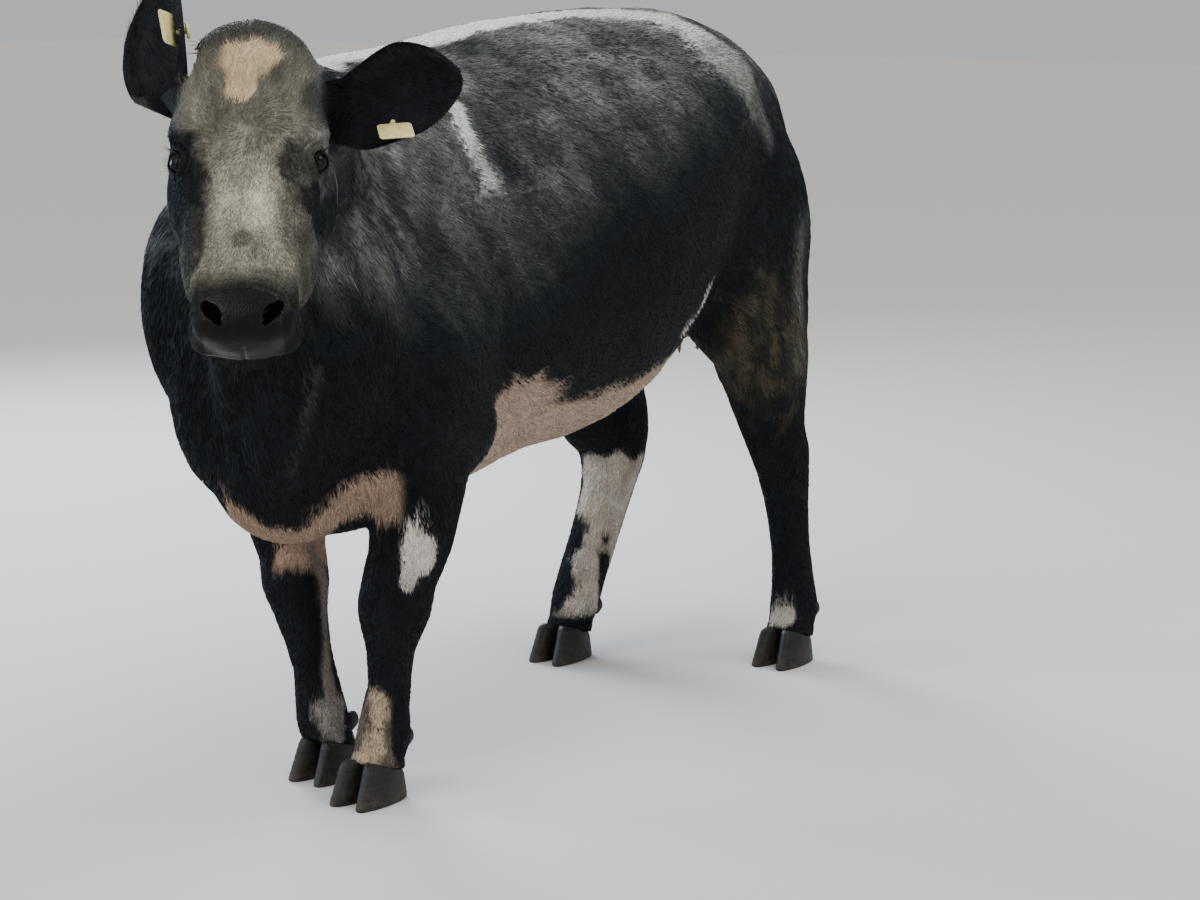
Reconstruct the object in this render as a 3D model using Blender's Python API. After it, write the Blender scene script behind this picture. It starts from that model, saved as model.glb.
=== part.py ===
"""Belgian Blue cross heifer, a still life-size model in metres.

The heifer faces -Y, its left side is +X and the floor is Z = 0. The hide is lofted and swelled
as one body, fused, smoothed and then parted with thin cuts into named pieces. Eyes, ears, claws,
dewclaws, ear tags, udder and tail are pieces of their own, set on the body's own sizes.
"""

import math
import random

import bmesh
import bpy
from mathutils import Matrix, Vector

# Driving sizes, in metres
WITHERS_HEIGHT = 1.285
HIP_HEIGHT = 1.345
BELLY_HEIGHT = 0.532
BRISKET_HEIGHT = 0.467
BARREL_HALF_WIDTH = 0.315
HEAD_LENGTH = 0.52
CORONET_HEIGHT = 0.060
CORONET_SLOPE = math.radians(14)
GAP = 0.0003
COARSE_VOXEL = 0.010
FINE_VOXEL = 0.005
FACE_STAGE_TRIANGLES = 19500
HIDE_TRIANGLES = 8000

# The head turns to the heifer's left and its face slopes down
HEAD_TURN = math.radians(38)
FACE_SLOPE = math.radians(45)
EYE_ALONG = 0.19
EYES_MIDDLE = Vector((0.218, -0.488, 1.137))
EYE_RADIUS = 0.0205
EYE_PLACE = (0.098, 0.202, 0.011)
LID_THICKNESS = 0.0045
EYE_OPENING = (0.0195, 0.0125)
NOSTRIL_PLACE = (0.041, 0.483, 0.018)
NOSTRIL_RADII = (0.0095, 0.0165, 0.0200)
MOUTH_DEPTH = 0.0065
MOUTH_WIDTH = 0.0075

EAR_LENGTH = 0.200
EAR_WIDTH = 0.148
EAR_THICKNESS = 0.010
TAG_ALONG = 0.40
TAG_WIDTH = 0.056
TAG_HEIGHT = 0.048
TAG_THICKNESS = 0.0022

TAIL_CUT_HEIGHT = 0.86
SWITCH_TOP = 0.56
SWITCH_END = 0.30
SWITCH_LOCKS = 24

# The middle of each sole
FEET = {
    "foreleg_left": Vector((0.076, -0.046, 0)),
    "foreleg_right": Vector((-0.076, 0.022, 0)),
    "hindleg_left": Vector((0.198, 1.152, 0)),
    "hindleg_right": Vector((-0.200, 0.920, 0)),
}
CLAW_WIDTH = 0.048
CLAW_TOE = 0.082
CLAW_HEEL = 0.048
CLAW_SPLAY = math.radians(4)

COLOURS = {
    "coat": (0.10, 0.11, 0.12),
    "horn": (0.035, 0.032, 0.030),
    "eye": (0.012, 0.010, 0.010),
    "tag": (0.75, 0.66, 0.20),
    "udder_skin": (0.55, 0.40, 0.34),
    "tail_hair": (0.07, 0.07, 0.075),
}


def clear_scene():
    for obj in list(bpy.data.objects):
        bpy.data.objects.remove(obj)


def material(name):
    made = bpy.data.materials.get(name)
    if made is None:
        made = bpy.data.materials.new(name)
        made.use_nodes = True
        shader = made.node_tree.nodes["Principled BSDF"]
        shader.inputs["Base Color"].default_value = (*COLOURS[name], 1)
        shader.inputs["Roughness"].default_value = 0.15 if name == "eye" else 0.7
        shader.inputs["Metallic"].default_value = 0
    return made


def coloured(obj, name):
    obj.data.materials.clear()
    obj.data.materials.append(material(name))
    return obj


def link_mesh(name, bm):
    bmesh.ops.recalc_face_normals(bm, faces=bm.faces)
    mesh = bpy.data.meshes.new(name)
    bm.to_mesh(mesh)
    bm.free()
    obj = bpy.data.objects.new(name, mesh)
    bpy.context.scene.collection.objects.link(obj)
    return obj


def modified(obj, kind, **settings):
    """Adds a modifier, applies it and gives the object back."""
    modifier = obj.modifiers.new(kind, kind)
    for key, value in settings.items():
        setattr(modifier, key, value)
    bpy.context.view_layer.update()
    graph = bpy.context.evaluated_depsgraph_get()
    mesh = bpy.data.meshes.new_from_object(obj.evaluated_get(graph))
    obj.modifiers.clear()
    obj.data = mesh
    return obj


def cut_away(obj, cutters, solver="EXACT"):
    """Takes the cutters out of an object and removes them."""
    for cutter in cutters:
        cutter.hide_render = True
        modified(obj, "BOOLEAN", object=cutter, operation="DIFFERENCE", solver=solver)
        bpy.data.objects.remove(cutter)
    return obj


def joined(name, objects):
    bm = bmesh.new()
    for obj in objects:
        bm.from_mesh(obj.data)
        bpy.data.objects.remove(obj)
    return link_mesh(name, bm)


def mesh_volume(obj):
    bm = bmesh.new()
    bm.from_mesh(obj.data)
    size = abs(bm.calc_volume())
    bm.free()
    return size


def loose_pieces(obj):
    """The separate closed surfaces of a mesh, each as an object, largest first."""
    bm = bmesh.new()
    bm.from_mesh(obj.data)
    bm.verts.ensure_lookup_table()
    unseen = set(range(len(bm.verts)))
    groups = []
    while unseen:
        start = unseen.pop()
        group = {start}
        edge_front = [start]
        while edge_front:
            vert = bm.verts[edge_front.pop()]
            for edge in vert.link_edges:
                other = edge.other_vert(vert).index
                if other in unseen:
                    unseen.discard(other)
                    group.add(other)
                    edge_front.append(other)
        groups.append(group)
    made = []
    for group in groups:
        piece = bmesh.new()
        index = {i: piece.verts.new(bm.verts[i].co) for i in sorted(group)}
        for face in bm.faces:
            if face.verts[0].index in group:
                piece.faces.new([index[v.index] for v in face.verts])
        made.append(link_mesh("piece", piece))
    bm.free()
    bpy.data.objects.remove(obj)
    return sorted(made, key=mesh_volume, reverse=True)


def only_largest(obj):
    name = obj.name
    pieces = loose_pieces(obj)
    for scrap in pieces[1:]:
        bpy.data.objects.remove(scrap)
    pieces[0].name = name
    return pieces[0]


def eased(rows, steps):
    """Rows of numbers joined by a Catmull-Rom curve, with this many steps between two rows."""
    out = []
    last = len(rows) - 1
    for i in range(last):
        p, q, r, s = (rows[min(max(k, 0), last)] for k in (i - 1, i, i + 1, i + 2))
        for step in range(steps):
            t = step / steps
            row = []
            for a, b, c, d in zip(p, q, r, s):
                cubic = (2 * b, c - a, 2 * a - 5 * b + 4 * c - d, 3 * b - a - 3 * c + d)
                row.append(0.5 * sum(k * t**n for n, k in enumerate(cubic)))
            out.append(row)
    out.append(list(rows[-1]))
    return out


def ring_point(angle, half_width, above, below, squareness, taper):
    """A point of a section: wide at mid height, and narrower below it by taper."""
    c, s = math.cos(angle), math.sin(angle)
    power = 2 / squareness
    x = math.copysign(abs(c) ** power, c) * half_width
    z = math.copysign(abs(s) ** power, s)
    if z < 0:
        x *= 1 + taper * z
    return x, z * (above if z > 0 else below)


def loft(name, frames, sides=32):
    """A closed tube through sections. A frame is (centre, right, up, section numbers)."""
    bm = bmesh.new()
    rings = []
    for centre, right, up, numbers in frames:
        ring = []
        for k in range(sides):
            x, z = ring_point(2 * math.pi * k / sides, *numbers)
            ring.append(bm.verts.new(centre + right * x + up * z))
        rings.append(ring)
    for low, high in zip(rings, rings[1:]):
        for k in range(sides):
            n = (k + 1) % sides
            bm.faces.new((low[k], low[n], high[n], high[k]))
    bm.faces.new(list(reversed(rings[0])))
    bm.faces.new(rings[-1])
    return link_mesh(name, bm)


def along_path(rows, side, steps=4):
    """Frames square to a path. A row is x, y, z and the section's five numbers."""
    rows = eased(rows, steps)
    centres = [Vector(row[:3]) for row in rows]
    frames = []
    for i, row in enumerate(rows):
        ahead = centres[min(i + 1, len(rows) - 1)] - centres[max(i - 1, 0)]
        ahead.normalize()
        right = (side - ahead * side.dot(ahead)).normalized()
        up = right.cross(ahead).normalized()
        frames.append((centres[i], right, up, row[3:]))
    return frames


def swell(name, centre, radii, turn=(0, 0, 0), fineness=4):
    """An ellipsoid of muscle, turned by three angles in degrees."""
    bm = bmesh.new()
    bmesh.ops.create_icosphere(bm, subdivisions=fineness, radius=1)
    turning = Matrix.Rotation(math.radians(turn[2]), 4, "Z")
    turning @= Matrix.Rotation(math.radians(turn[1]), 4, "Y")
    turning @= Matrix.Rotation(math.radians(turn[0]), 4, "X")
    place = Matrix.Translation(centre) @ turning @ Matrix.Diagonal((*radii, 1))
    bmesh.ops.transform(bm, matrix=place, verts=bm.verts)
    return link_mesh(name, bm)


def both_sides(name, centre, radii, turn=(0, 0, 0)):
    """The same muscle on the left and the right."""
    x, y, z = centre
    left = swell(name + "_l", (x, y, z), radii, turn)
    right = swell(name + "_r", (-x, y, z), radii, (turn[0], -turn[1], -turn[2]))
    return [left, right]


# The head's own frame: along the face from the poll, to the heifer's left, and out of the face
FACE_ALONG = Vector(
    (
        math.sin(HEAD_TURN) * math.cos(FACE_SLOPE),
        -math.cos(HEAD_TURN) * math.cos(FACE_SLOPE),
        -math.sin(FACE_SLOPE),
    )
)
FACE_LEFT = Vector((math.cos(HEAD_TURN), math.sin(HEAD_TURN), 0))
FACE_OUT = FACE_ALONG.cross(FACE_LEFT).normalized()
POLL = EYES_MIDDLE - FACE_ALONG * EYE_ALONG
UP = Vector((0, 0, 1))


def on_head(left, along, out):
    return POLL + FACE_LEFT * left + FACE_ALONG * along + FACE_OUT * out


def in_head(point):
    """The head's own numbers of a point: left, along, out."""
    away = point - POLL
    return away.dot(FACE_LEFT), away.dot(FACE_ALONG), away.dot(FACE_OUT)


def head_swell(name, place, radii, fineness=4):
    """An ellipsoid in the head's frame, with radii to the left, along the face and out of it."""
    bm = bmesh.new()
    bmesh.ops.create_icosphere(bm, subdivisions=fineness, radius=1)
    turning = Matrix((FACE_LEFT, FACE_ALONG, FACE_OUT)).transposed().to_4x4()
    matrix = Matrix.Translation(on_head(*place)) @ turning @ Matrix.Diagonal((*radii, 1))
    bmesh.ops.transform(bm, matrix=matrix, verts=bm.verts)
    return link_mesh(name, bm)


def torso():
    """Chest, barrel and rump as one loft. A row is y, top, bottom, half width."""
    top, hip, belly, brisket = WITHERS_HEIGHT, HIP_HEIGHT, BELLY_HEIGHT, BRISKET_HEIGHT
    rows = [
        (-0.330, top - 0.265, 0.700, 0.085),
        (-0.270, top - 0.155, 0.560, 0.155),
        (-0.150, top - 0.040, brisket + 0.013, 0.200),
        (0.000, top - 0.005, brisket, 0.225),
        (0.150, top + 0.005, brisket + 0.030, 0.250),
        (0.350, top + 0.034, belly + 0.008, 0.290),
        (0.550, top + 0.050, belly + 0.020, BARREL_HALF_WIDTH),
        (0.720, hip, belly + 0.086, 0.310),
        (0.860, hip - 0.002, belly + 0.200, 0.280),
        (1.000, hip - 0.030, belly + 0.232, 0.250),
        (1.100, hip - 0.076, 0.780, 0.216),
        (1.180, hip - 0.134, 0.805, 0.164),
        (1.235, hip - 0.200, 0.860, 0.105),
    ]
    frames = []
    for y, high, low, half in eased(rows, 4):
        middle = low + 0.52 * (high - low)
        numbers = (half, high - middle, middle - low, 2.35, 0.10)
        frames.append((Vector((0, y, middle)), Vector((1, 0, 0)), Vector((0, 0, 1)), numbers))
    return loft("torso_loft", frames, 48)


def neck():
    rows = [
        (0.000, 0.06, 0.99, 0.200, 0.285, 0.29, 2.1, 0.15),
        (0.010, -0.08, 1.01, 0.178, 0.255, 0.28, 2.1, 0.20),
        (0.040, -0.18, 1.07, 0.155, 0.205, 0.24, 2.1, 0.25),
        (0.080, -0.26, 1.13, 0.135, 0.165, 0.175, 2.1, 0.20),
        (0.120, -0.325, 1.18, 0.118, 0.135, 0.135, 2.1, 0.15),
        (0.160, -0.385, 1.215, 0.100, 0.118, 0.105, 2.1, 0.10),
    ]
    return loft("neck_loft", along_path(rows, Vector((1, 0.3, 0))), 40)


def head():
    """A row is: along the face, half width, above the eye line, below it, squareness, jaw taper."""
    rows = [
        (-0.030, 0.050, 0.040, 0.040, 2.0, 0.00),
        (0.000, 0.085, 0.062, 0.080, 2.1, 0.10),
        (0.050, 0.104, 0.064, 0.125, 2.3, 0.20),
        (0.110, 0.114, 0.060, 0.160, 2.4, 0.30),
        (0.160, 0.119, 0.054, 0.172, 2.4, 0.32),
        (0.200, 0.116, 0.048, 0.170, 2.4, 0.30),
        (0.250, 0.108, 0.043, 0.160, 2.4, 0.26),
        (0.310, 0.096, 0.038, 0.140, 2.3, 0.20),
        (0.370, 0.084, 0.035, 0.122, 2.3, 0.14),
        (0.420, 0.079, 0.034, 0.112, 2.3, 0.10),
        (0.460, 0.080, 0.033, 0.106, 2.4, 0.10),
        (0.490, 0.076, 0.027, 0.090, 2.4, 0.12),
        (0.510, 0.060, 0.014, 0.062, 2.2, 0.10),
        (HEAD_LENGTH, 0.034, 0.000, 0.036, 2.0, 0.00),
    ]
    frames = [(on_head(0, row[0], 0), FACE_LEFT, FACE_OUT, row[1:]) for row in eased(rows, 4)]
    made = [loft("head_loft", frames, 40)]
    lid = EYE_RADIUS + LID_THICKNESS
    for side in (1, -1):
        eye = (side * EYE_PLACE[0], EYE_PLACE[1], EYE_PLACE[2])
        made += [
            head_swell("lids", eye, (lid, lid + 0.002, lid)),
            head_swell("brow", (side * 0.088, 0.148, 0.026), (0.034, 0.046, 0.025)),
            head_swell("cheek", (side * 0.080, 0.185, -0.080), (0.050, 0.105, 0.086)),
            head_swell("jowl", (side * 0.064, 0.300, -0.070), (0.042, 0.110, 0.052)),
            head_swell("face_crest", (side * 0.070, 0.275, -0.025), (0.022, 0.065, 0.024)),
            head_swell("nostril_wing", (side * 0.048, 0.486, -0.006), (0.027, 0.029, 0.032)),
            head_swell("upper_lip", (side * 0.048, 0.466, -0.050), (0.037, 0.042, 0.032)),
            head_swell("temple", (side * 0.076, 0.068, 0.014), (0.048, 0.066, 0.048)),
            head_swell("ear_root", (side * 0.106, 0.048, 0.006), (0.036, 0.038, 0.036)),
        ]
    made += [
        head_swell("poll_dome", (0, 0.022, 0.028), (0.098, 0.085, 0.064)),
        head_swell("forehead", (0, 0.110, 0.032), (0.082, 0.095, 0.034)),
        head_swell("nose_bridge", (0, 0.350, 0.012), (0.036, 0.130, 0.026)),
        head_swell("nose_pad", (0, 0.490, -0.014), (0.044, 0.030, 0.036)),
        head_swell("chin", (0, 0.446, -0.108), (0.056, 0.046, 0.030)),
        head_swell("jaw", (0, 0.330, -0.112), (0.054, 0.120, 0.030)),
    ]
    return made


def muscles():
    """Shoulders, breast, thighs and rump, heavy as the breed has them."""
    made = []
    made += both_sides("shoulder_blade", (0.118, -0.01, 1.02), (0.108, 0.150, 0.230), (-14, 6, 0))
    made += both_sides("upper_arm", (0.158, 0.000, 0.80), (0.100, 0.165, 0.185), (-20, 0, 0))
    made += both_sides("shoulder_point", (0.136, -0.195, 0.87), (0.114, 0.125, 0.215), (0, 0, 12))
    made += both_sides("elbow", (0.180, 0.065, 0.665), (0.070, 0.085, 0.100))
    made += both_sides("breast", (0.070, -0.225, 0.73), (0.090, 0.120, 0.180))
    made += both_sides("hip_bone", (0.195, 0.87, 1.200), (0.070, 0.100, 0.080))
    made += both_sides("rump", (0.108, 1.00, 1.110), (0.120, 0.165, 0.150), (14, 0, 0))
    made += both_sides("thigh", (0.158, 1.000, 0.900), (0.130, 0.205, 0.265), (8, 0, 0))
    made += both_sides("buttock", (0.104, 1.112, 0.930), (0.104, 0.136, 0.240), (-2, 0, 0))
    made += both_sides("ham", (0.160, 1.090, 0.730), (0.094, 0.128, 0.190), (-8, 0, 0))
    made += both_sides("stifle", (0.205, 0.930, 0.760), (0.080, 0.092, 0.125), (-18, 0, 0))
    made += both_sides("loin", (0.085, 0.68, 1.225), (0.100, 0.270, 0.095))
    made.append(swell("nape", (0.120, -0.330, 1.222), (0.080, 0.115, 0.060), (30, 0, 0)))
    made.append(swell("brisket", (0, -0.150, 0.615), (0.125, 0.165, 0.150)))
    made.append(swell("dewlap", (0.030, -0.335, 0.83), (0.030, 0.075, 0.180), (24, 0, 20)))
    made.append(swell("tail_head", (0, 1.180, 1.165), (0.048, 0.080, 0.065)))
    return made


# Leg rows: x out from the middle, y, z, half width, to the rear, to the front
LEGS = {
    "foreleg_left": [
        (0.178, -0.005, 0.760, 0.074, 0.115, 0.115),
        (0.175, -0.015, 0.660, 0.070, 0.100, 0.105),
        (0.170, -0.025, 0.560, 0.068, 0.088, 0.088),
        (0.158, -0.036, 0.470, 0.067, 0.074, 0.074),
        (0.137, -0.040, 0.405, 0.064, 0.062, 0.062),
        (0.122, -0.038, 0.345, 0.065, 0.056, 0.064),
        (0.113, -0.034, 0.303, 0.055, 0.046, 0.052),
        (0.104, -0.029, 0.262, 0.042, 0.040, 0.042),
        (0.095, -0.022, 0.205, 0.038, 0.038, 0.039),
        (0.088, -0.024, 0.155, 0.042, 0.043, 0.042),
        (0.083, -0.027, 0.112, 0.049, 0.048, 0.045),
        (0.079, -0.034, 0.080, 0.046, 0.044, 0.044),
        (0.076, -0.043, 0.015, 0.057, 0.052, 0.062),
    ],
    "foreleg_right": [
        (0.178, 0.000, 0.760, 0.074, 0.115, 0.115),
        (0.178, -0.004, 0.660, 0.074, 0.100, 0.108),
        (0.171, -0.004, 0.560, 0.072, 0.088, 0.092),
        (0.156, 0.001, 0.460, 0.064, 0.074, 0.072),
        (0.143, 0.003, 0.405, 0.060, 0.060, 0.060),
        (0.128, -0.004, 0.350, 0.061, 0.055, 0.062),
        (0.118, -0.006, 0.308, 0.052, 0.045, 0.050),
        (0.106, -0.004, 0.255, 0.042, 0.040, 0.042),
        (0.096, 0.002, 0.200, 0.038, 0.038, 0.039),
        (0.088, 0.005, 0.145, 0.044, 0.043, 0.042),
        (0.083, 0.006, 0.108, 0.048, 0.048, 0.045),
        (0.079, 0.012, 0.078, 0.047, 0.045, 0.045),
        (0.076, 0.024, 0.015, 0.057, 0.052, 0.062),
    ],
    "hindleg_left": [
        (0.195, 0.965, 0.800, 0.090, 0.180, 0.115),
        (0.208, 0.980, 0.710, 0.084, 0.160, 0.090),
        (0.216, 1.010, 0.620, 0.078, 0.132, 0.076),
        (0.212, 1.047, 0.550, 0.066, 0.104, 0.074),
        (0.205, 1.082, 0.490, 0.055, 0.080, 0.070),
        (0.202, 1.112, 0.440, 0.054, 0.074, 0.062),
        (0.200, 1.131, 0.390, 0.048, 0.060, 0.056),
        (0.200, 1.149, 0.310, 0.041, 0.048, 0.047),
        (0.200, 1.163, 0.234, 0.039, 0.045, 0.045),
        (0.200, 1.172, 0.168, 0.043, 0.048, 0.047),
        (0.200, 1.176, 0.112, 0.050, 0.052, 0.049),
        (0.199, 1.169, 0.080, 0.047, 0.047, 0.046),
        (0.198, 1.155, 0.015, 0.058, 0.053, 0.063),
    ],
    "hindleg_right": [
        (0.195, 0.975, 0.800, 0.092, 0.160, 0.145),
        (0.207, 0.990, 0.710, 0.090, 0.152, 0.136),
        (0.213, 1.020, 0.610, 0.092, 0.140, 0.132),
        (0.209, 1.055, 0.530, 0.083, 0.120, 0.120),
        (0.204, 1.088, 0.465, 0.072, 0.108, 0.104),
        (0.202, 1.098, 0.410, 0.064, 0.086, 0.086),
        (0.200, 1.080, 0.350, 0.054, 0.067, 0.064),
        (0.200, 1.052, 0.285, 0.049, 0.058, 0.057),
        (0.200, 1.016, 0.220, 0.047, 0.055, 0.056),
        (0.200, 0.980, 0.158, 0.048, 0.054, 0.054),
        (0.200, 0.955, 0.108, 0.050, 0.052, 0.049),
        (0.200, 0.941, 0.076, 0.047, 0.047, 0.046),
        (0.200, 0.924, 0.015, 0.058, 0.053, 0.063),
    ],
}
HOCK_POINTS = {"hindleg_left": (1.150, 0.515), "hindleg_right": (1.150, 0.480)}


def leg(name):
    """Upper arm or thigh down to the coronet, with the tendon and the point of the hock."""
    side = math.copysign(1, FEET[name].x)
    rows = [(side * x, y, z, half, rear, front, 2.2, 0) for x, y, z, half, rear, front in LEGS[name]]
    made = [loft(name + "_loft", along_path(rows, Vector((1, 0, 0))), 24)]
    if name in HOCK_POINTS:
        y, z = HOCK_POINTS[name]
        made.append(swell(name + "_hock", (side * 0.203, y, z), (0.027, 0.034, 0.050), (18, 0, 0), 3))
        tendon = (side * 0.207, y - 0.030, z + 0.090)
        made.append(swell(name + "_tendon", tendon, (0.024, 0.034, 0.110), (12, 0, 0), 3))
    return made


def legs():
    return [piece for name in LEGS for piece in leg(name)]


def ramp(value, start, end):
    """0 at start, 1 at end, eased between."""
    t = min(max((value - start) / (end - start), 0.0), 1.0)
    return t * t * (3 - 2 * t)


def region_weights(point):
    """How much of the trunk, a limb and the face a point belongs to."""
    left, along, out = in_head(point)
    face = ramp(along, -0.03, 0.06) * ramp(out, -0.28, -0.20)
    limb = (1 - ramp(point.z, 0.50, 0.68)) * (1 - face)
    return max(0.0, 1 - face - limb), limb, face


def smoothed(obj, passes):
    """Blends by region: passes gives the number of smoothing steps on trunk, limbs and face."""
    names = ("trunk", "limbs", "face")
    groups = [obj.vertex_groups.new(name=name) for name in names]
    for vertex in obj.data.vertices:
        for group, weight in zip(groups, region_weights(vertex.co)):
            group.add([vertex.index], weight, "REPLACE")
    for name, count in zip(names, passes):
        if count:
            modified(obj, "SMOOTH", factor=0.5, iterations=count, vertex_group=name)
    return obj


def line_distance(point, line):
    """Distance in the head's left-along-out numbers from a point to a run of points."""
    best = 9.0
    p = Vector(point)
    for a, b in zip(line, line[1:]):
        a, b = Vector(a), Vector(b)
        t = min(max((p - a).dot(b - a) / (b - a).length_squared, 0.0), 1.0)
        best = min(best, (p - a.lerp(b, t)).length)
    return best


MOUTH_LINE = [
    (0.000, 0.524, -0.064),
    (0.038, 0.514, -0.067),
    (0.066, 0.488, -0.072),
    (0.080, 0.450, -0.078),
    (0.080, 0.405, -0.082),
    (0.076, 0.375, -0.082),
]


def mouth_crease(hide):
    """Presses the mouth line into the fused face."""
    for vertex in hide.data.vertices:
        left, along, out = in_head(vertex.co)
        if along < 0.33 or along > 0.60 or abs(left) > 0.13 or abs(out) > 0.16:
            continue
        away = line_distance((abs(left), along, out), MOUTH_LINE)
        depth = MOUTH_DEPTH * math.exp(-((away / MOUTH_WIDTH) ** 2))
        if depth > 1e-5:
            vertex.co -= vertex.normal * depth


def nostrils(head_piece):
    """A slanted hollow on each side of the nose pad."""
    for side in (1, -1):
        out = (FACE_ALONG * 0.55 + FACE_LEFT * 0.45 * side + FACE_OUT * 0.70).normalized()
        high = (FACE_LEFT * 0.62 * side - FACE_ALONG * 0.78).normalized()
        high = (high - out * high.dot(out)).normalized()
        turning = Matrix((high.cross(out), high, out)).transposed().to_4x4()
        bm = bmesh.new()
        bmesh.ops.create_icosphere(bm, subdivisions=3, radius=1)
        spot = on_head(side * NOSTRIL_PLACE[0], NOSTRIL_PLACE[1], NOSTRIL_PLACE[2])
        matrix = Matrix.Translation(spot) @ turning @ Matrix.Diagonal((*NOSTRIL_RADII, 1))
        bmesh.ops.transform(bm, matrix=matrix, verts=bm.verts)
        cut_away(head_piece, [link_mesh("nostril", bm)])


def fused_hide():
    """All lofts and muscles as one smooth closed skin."""
    fine_parts = head() + legs()
    trunk = joined("trunk", [torso(), neck(), *muscles()])
    coarse = joined("coarse", [trunk] + [obj.copy() for obj in fine_parts])
    modified(coarse, "REMESH", mode="VOXEL", voxel_size=COARSE_VOXEL, adaptivity=0)
    smoothed(coarse, (46, 3, 2))
    hide = joined("hide", [coarse] + fine_parts)
    modified(hide, "REMESH", mode="VOXEL", voxel_size=FINE_VOXEL, adaptivity=0)
    smoothed(hide, (34, 9, 7))
    mouth_crease(hide)
    return hide


def thinned(hide):
    """Fewer triangles: everywhere first, then only off the face, whose group is locked."""
    triangles = 2 * len(hide.data.polygons)
    modified(hide, "DECIMATE", ratio=FACE_STAGE_TRIANGLES / triangles)
    modified(
        hide,
        "DECIMATE",
        ratio=HIDE_TRIANGLES / FACE_STAGE_TRIANGLES,
        vertex_group="face",
        invert_vertex_group=True,
        vertex_group_factor=1e-6,
    )
    return hide


def box(name, centre, halves, axes=None):
    """A box of half sizes along three axes."""
    axes = axes or (Vector((1, 0, 0)), Vector((0, 1, 0)), Vector((0, 0, 1)))
    bm = bmesh.new()
    bmesh.ops.create_cube(bm, size=2)
    turning = Matrix(axes).transposed().to_4x4()
    matrix = Matrix.Translation(centre) @ turning @ Matrix.Diagonal((*halves, 1))
    bmesh.ops.transform(bm, matrix=matrix, verts=bm.verts)
    obj = link_mesh(name, bm)
    obj.hide_render = True
    obj.display_type = "WIRE"
    return obj


def slab(name, centre, normal, side, half_side, half_up):
    """A cut as thin as the gap, square to its normal."""
    normal = Vector(normal).normalized()
    side = Vector(side)
    side = (side - normal * side.dot(normal)).normalized()
    up = normal.cross(side)
    return box(name, centre, (half_side, half_up, GAP / 2), (side, up, normal))


def arm_cuts(side, y):
    """The top, inner, front and rear cuts that part a foreleg from the chest, and the knee cut."""
    inner, outer, low, high, reach = 0.066, 0.400, 0.400, 0.600, 0.118
    across, ahead, up = Vector((1, 0, 0)), Vector((0, 1, 0)), Vector((0, 0, 1))
    middle = side * (inner + outer) / 2
    half_width, half_height = (outer - inner) / 2, (high - low) / 2
    level = (high + low) / 2
    cuts = [slab("arm_top", (middle, y, high), up, across, half_width, reach)]
    cuts.append(slab("arm_inner", (side * inner, y, level), across, ahead, reach, half_height))
    for end in (-reach, reach):
        cuts.append(slab("arm_end", (middle, y + end, level), ahead, across, half_width, half_height))
    cuts.append(slab("knee_cut", (side * 0.115, y, 0.305), up, across, 0.10, reach))
    return cuts


def coronet_axes():
    """The tilted plane on which the claws stop: higher in front than behind."""
    normal = Vector((0, math.sin(CORONET_SLOPE), math.cos(CORONET_SLOPE)))
    return Vector((1, 0, 0)), normal.cross(Vector((1, 0, 0))), normal


def below_coronets():
    side, ahead, normal = coronet_axes()
    cutters = []
    for name, foot in FEET.items():
        reach = 0.12
        centre = foot + UP * CORONET_HEIGHT + normal * (GAP / 2 - reach)
        cutters.append(box("below_" + name, centre, (0.09, 0.12, reach), (side, ahead, normal)))
    return cutters


# Where each parted piece of the hide is found
PIECES = {
    "head": on_head(0, 0.22, -0.04),
    "neck": Vector((0.08, -0.26, 1.08)),
    "torso": Vector((0, 0.35, 0.93)),
    "hindquarters": Vector((0, 1.02, 1.00)),
    "foreleg_left_upper": Vector((0.16, -0.03, 0.45)),
    "foreleg_right_upper": Vector((-0.16, 0.00, 0.45)),
    "foreleg_left_lower": Vector((0.09, -0.03, 0.18)),
    "foreleg_right_lower": Vector((-0.09, 0.00, 0.18)),
    "hindleg_left_upper": Vector((0.21, 1.00, 0.60)),
    "hindleg_right_upper": Vector((-0.21, 1.02, 0.60)),
    "hindleg_left_lower": Vector((0.20, 1.16, 0.25)),
    "hindleg_right_lower": Vector((-0.20, 1.03, 0.25)),
}


def parting_cuts():
    """Thin cuts between the named parts, each across its own part only."""
    heading = Vector((math.sin(HEAD_TURN), -math.cos(HEAD_TURN), 0))
    across = Vector((1, 0, 0))
    cuts = [
        slab("head_cut", (0.14, -0.352, 1.16), heading, FACE_LEFT, 0.22, 0.25),
        slab("neck_cut", (0.02, -0.195, 1.055), (0, -0.858, 0.515), across, 0.34, 0.42),
        slab("loin_cut", (0, 0.785, 0.95), (0, 1, 0), across, 0.45, 0.52),
        slab("thigh_cut", (0, 1.02, 0.700), (0, 0, 1), across, 0.45, 0.36),
        slab("crotch_cut", (0, 1.02, 0.60), across, (0, 1, 0), 0.35, 0.1),
        slab("hock_left_cut", (0.20, 1.12, 0.425), (0, 0, 1), across, 0.15, 0.18),
        slab("hock_right_cut", (-0.20, 1.09, 0.405), (0, 0, 1), across, 0.15, 0.18),
    ]
    return cuts + arm_cuts(1, -0.030) + arm_cuts(-1, -0.002)


def centre_of(obj):
    corners = [Vector(corner) for corner in obj.bound_box]
    return sum(corners, Vector()) / len(corners)


def parted(hide):
    """Cuts the hide and names its pieces by where they lie."""
    cut_away(hide, below_coronets())
    cut_away(hide, parting_cuts())
    pieces = loose_pieces(hide)
    named = {}
    for name, place in PIECES.items():
        nearest = min(pieces, key=lambda piece: (centre_of(piece) - place).length)
        pieces.remove(nearest)
        nearest.name = name
        named[name] = coloured(nearest, "coat")
    for scrap in pieces:
        bpy.data.objects.remove(scrap)
    return named


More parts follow.
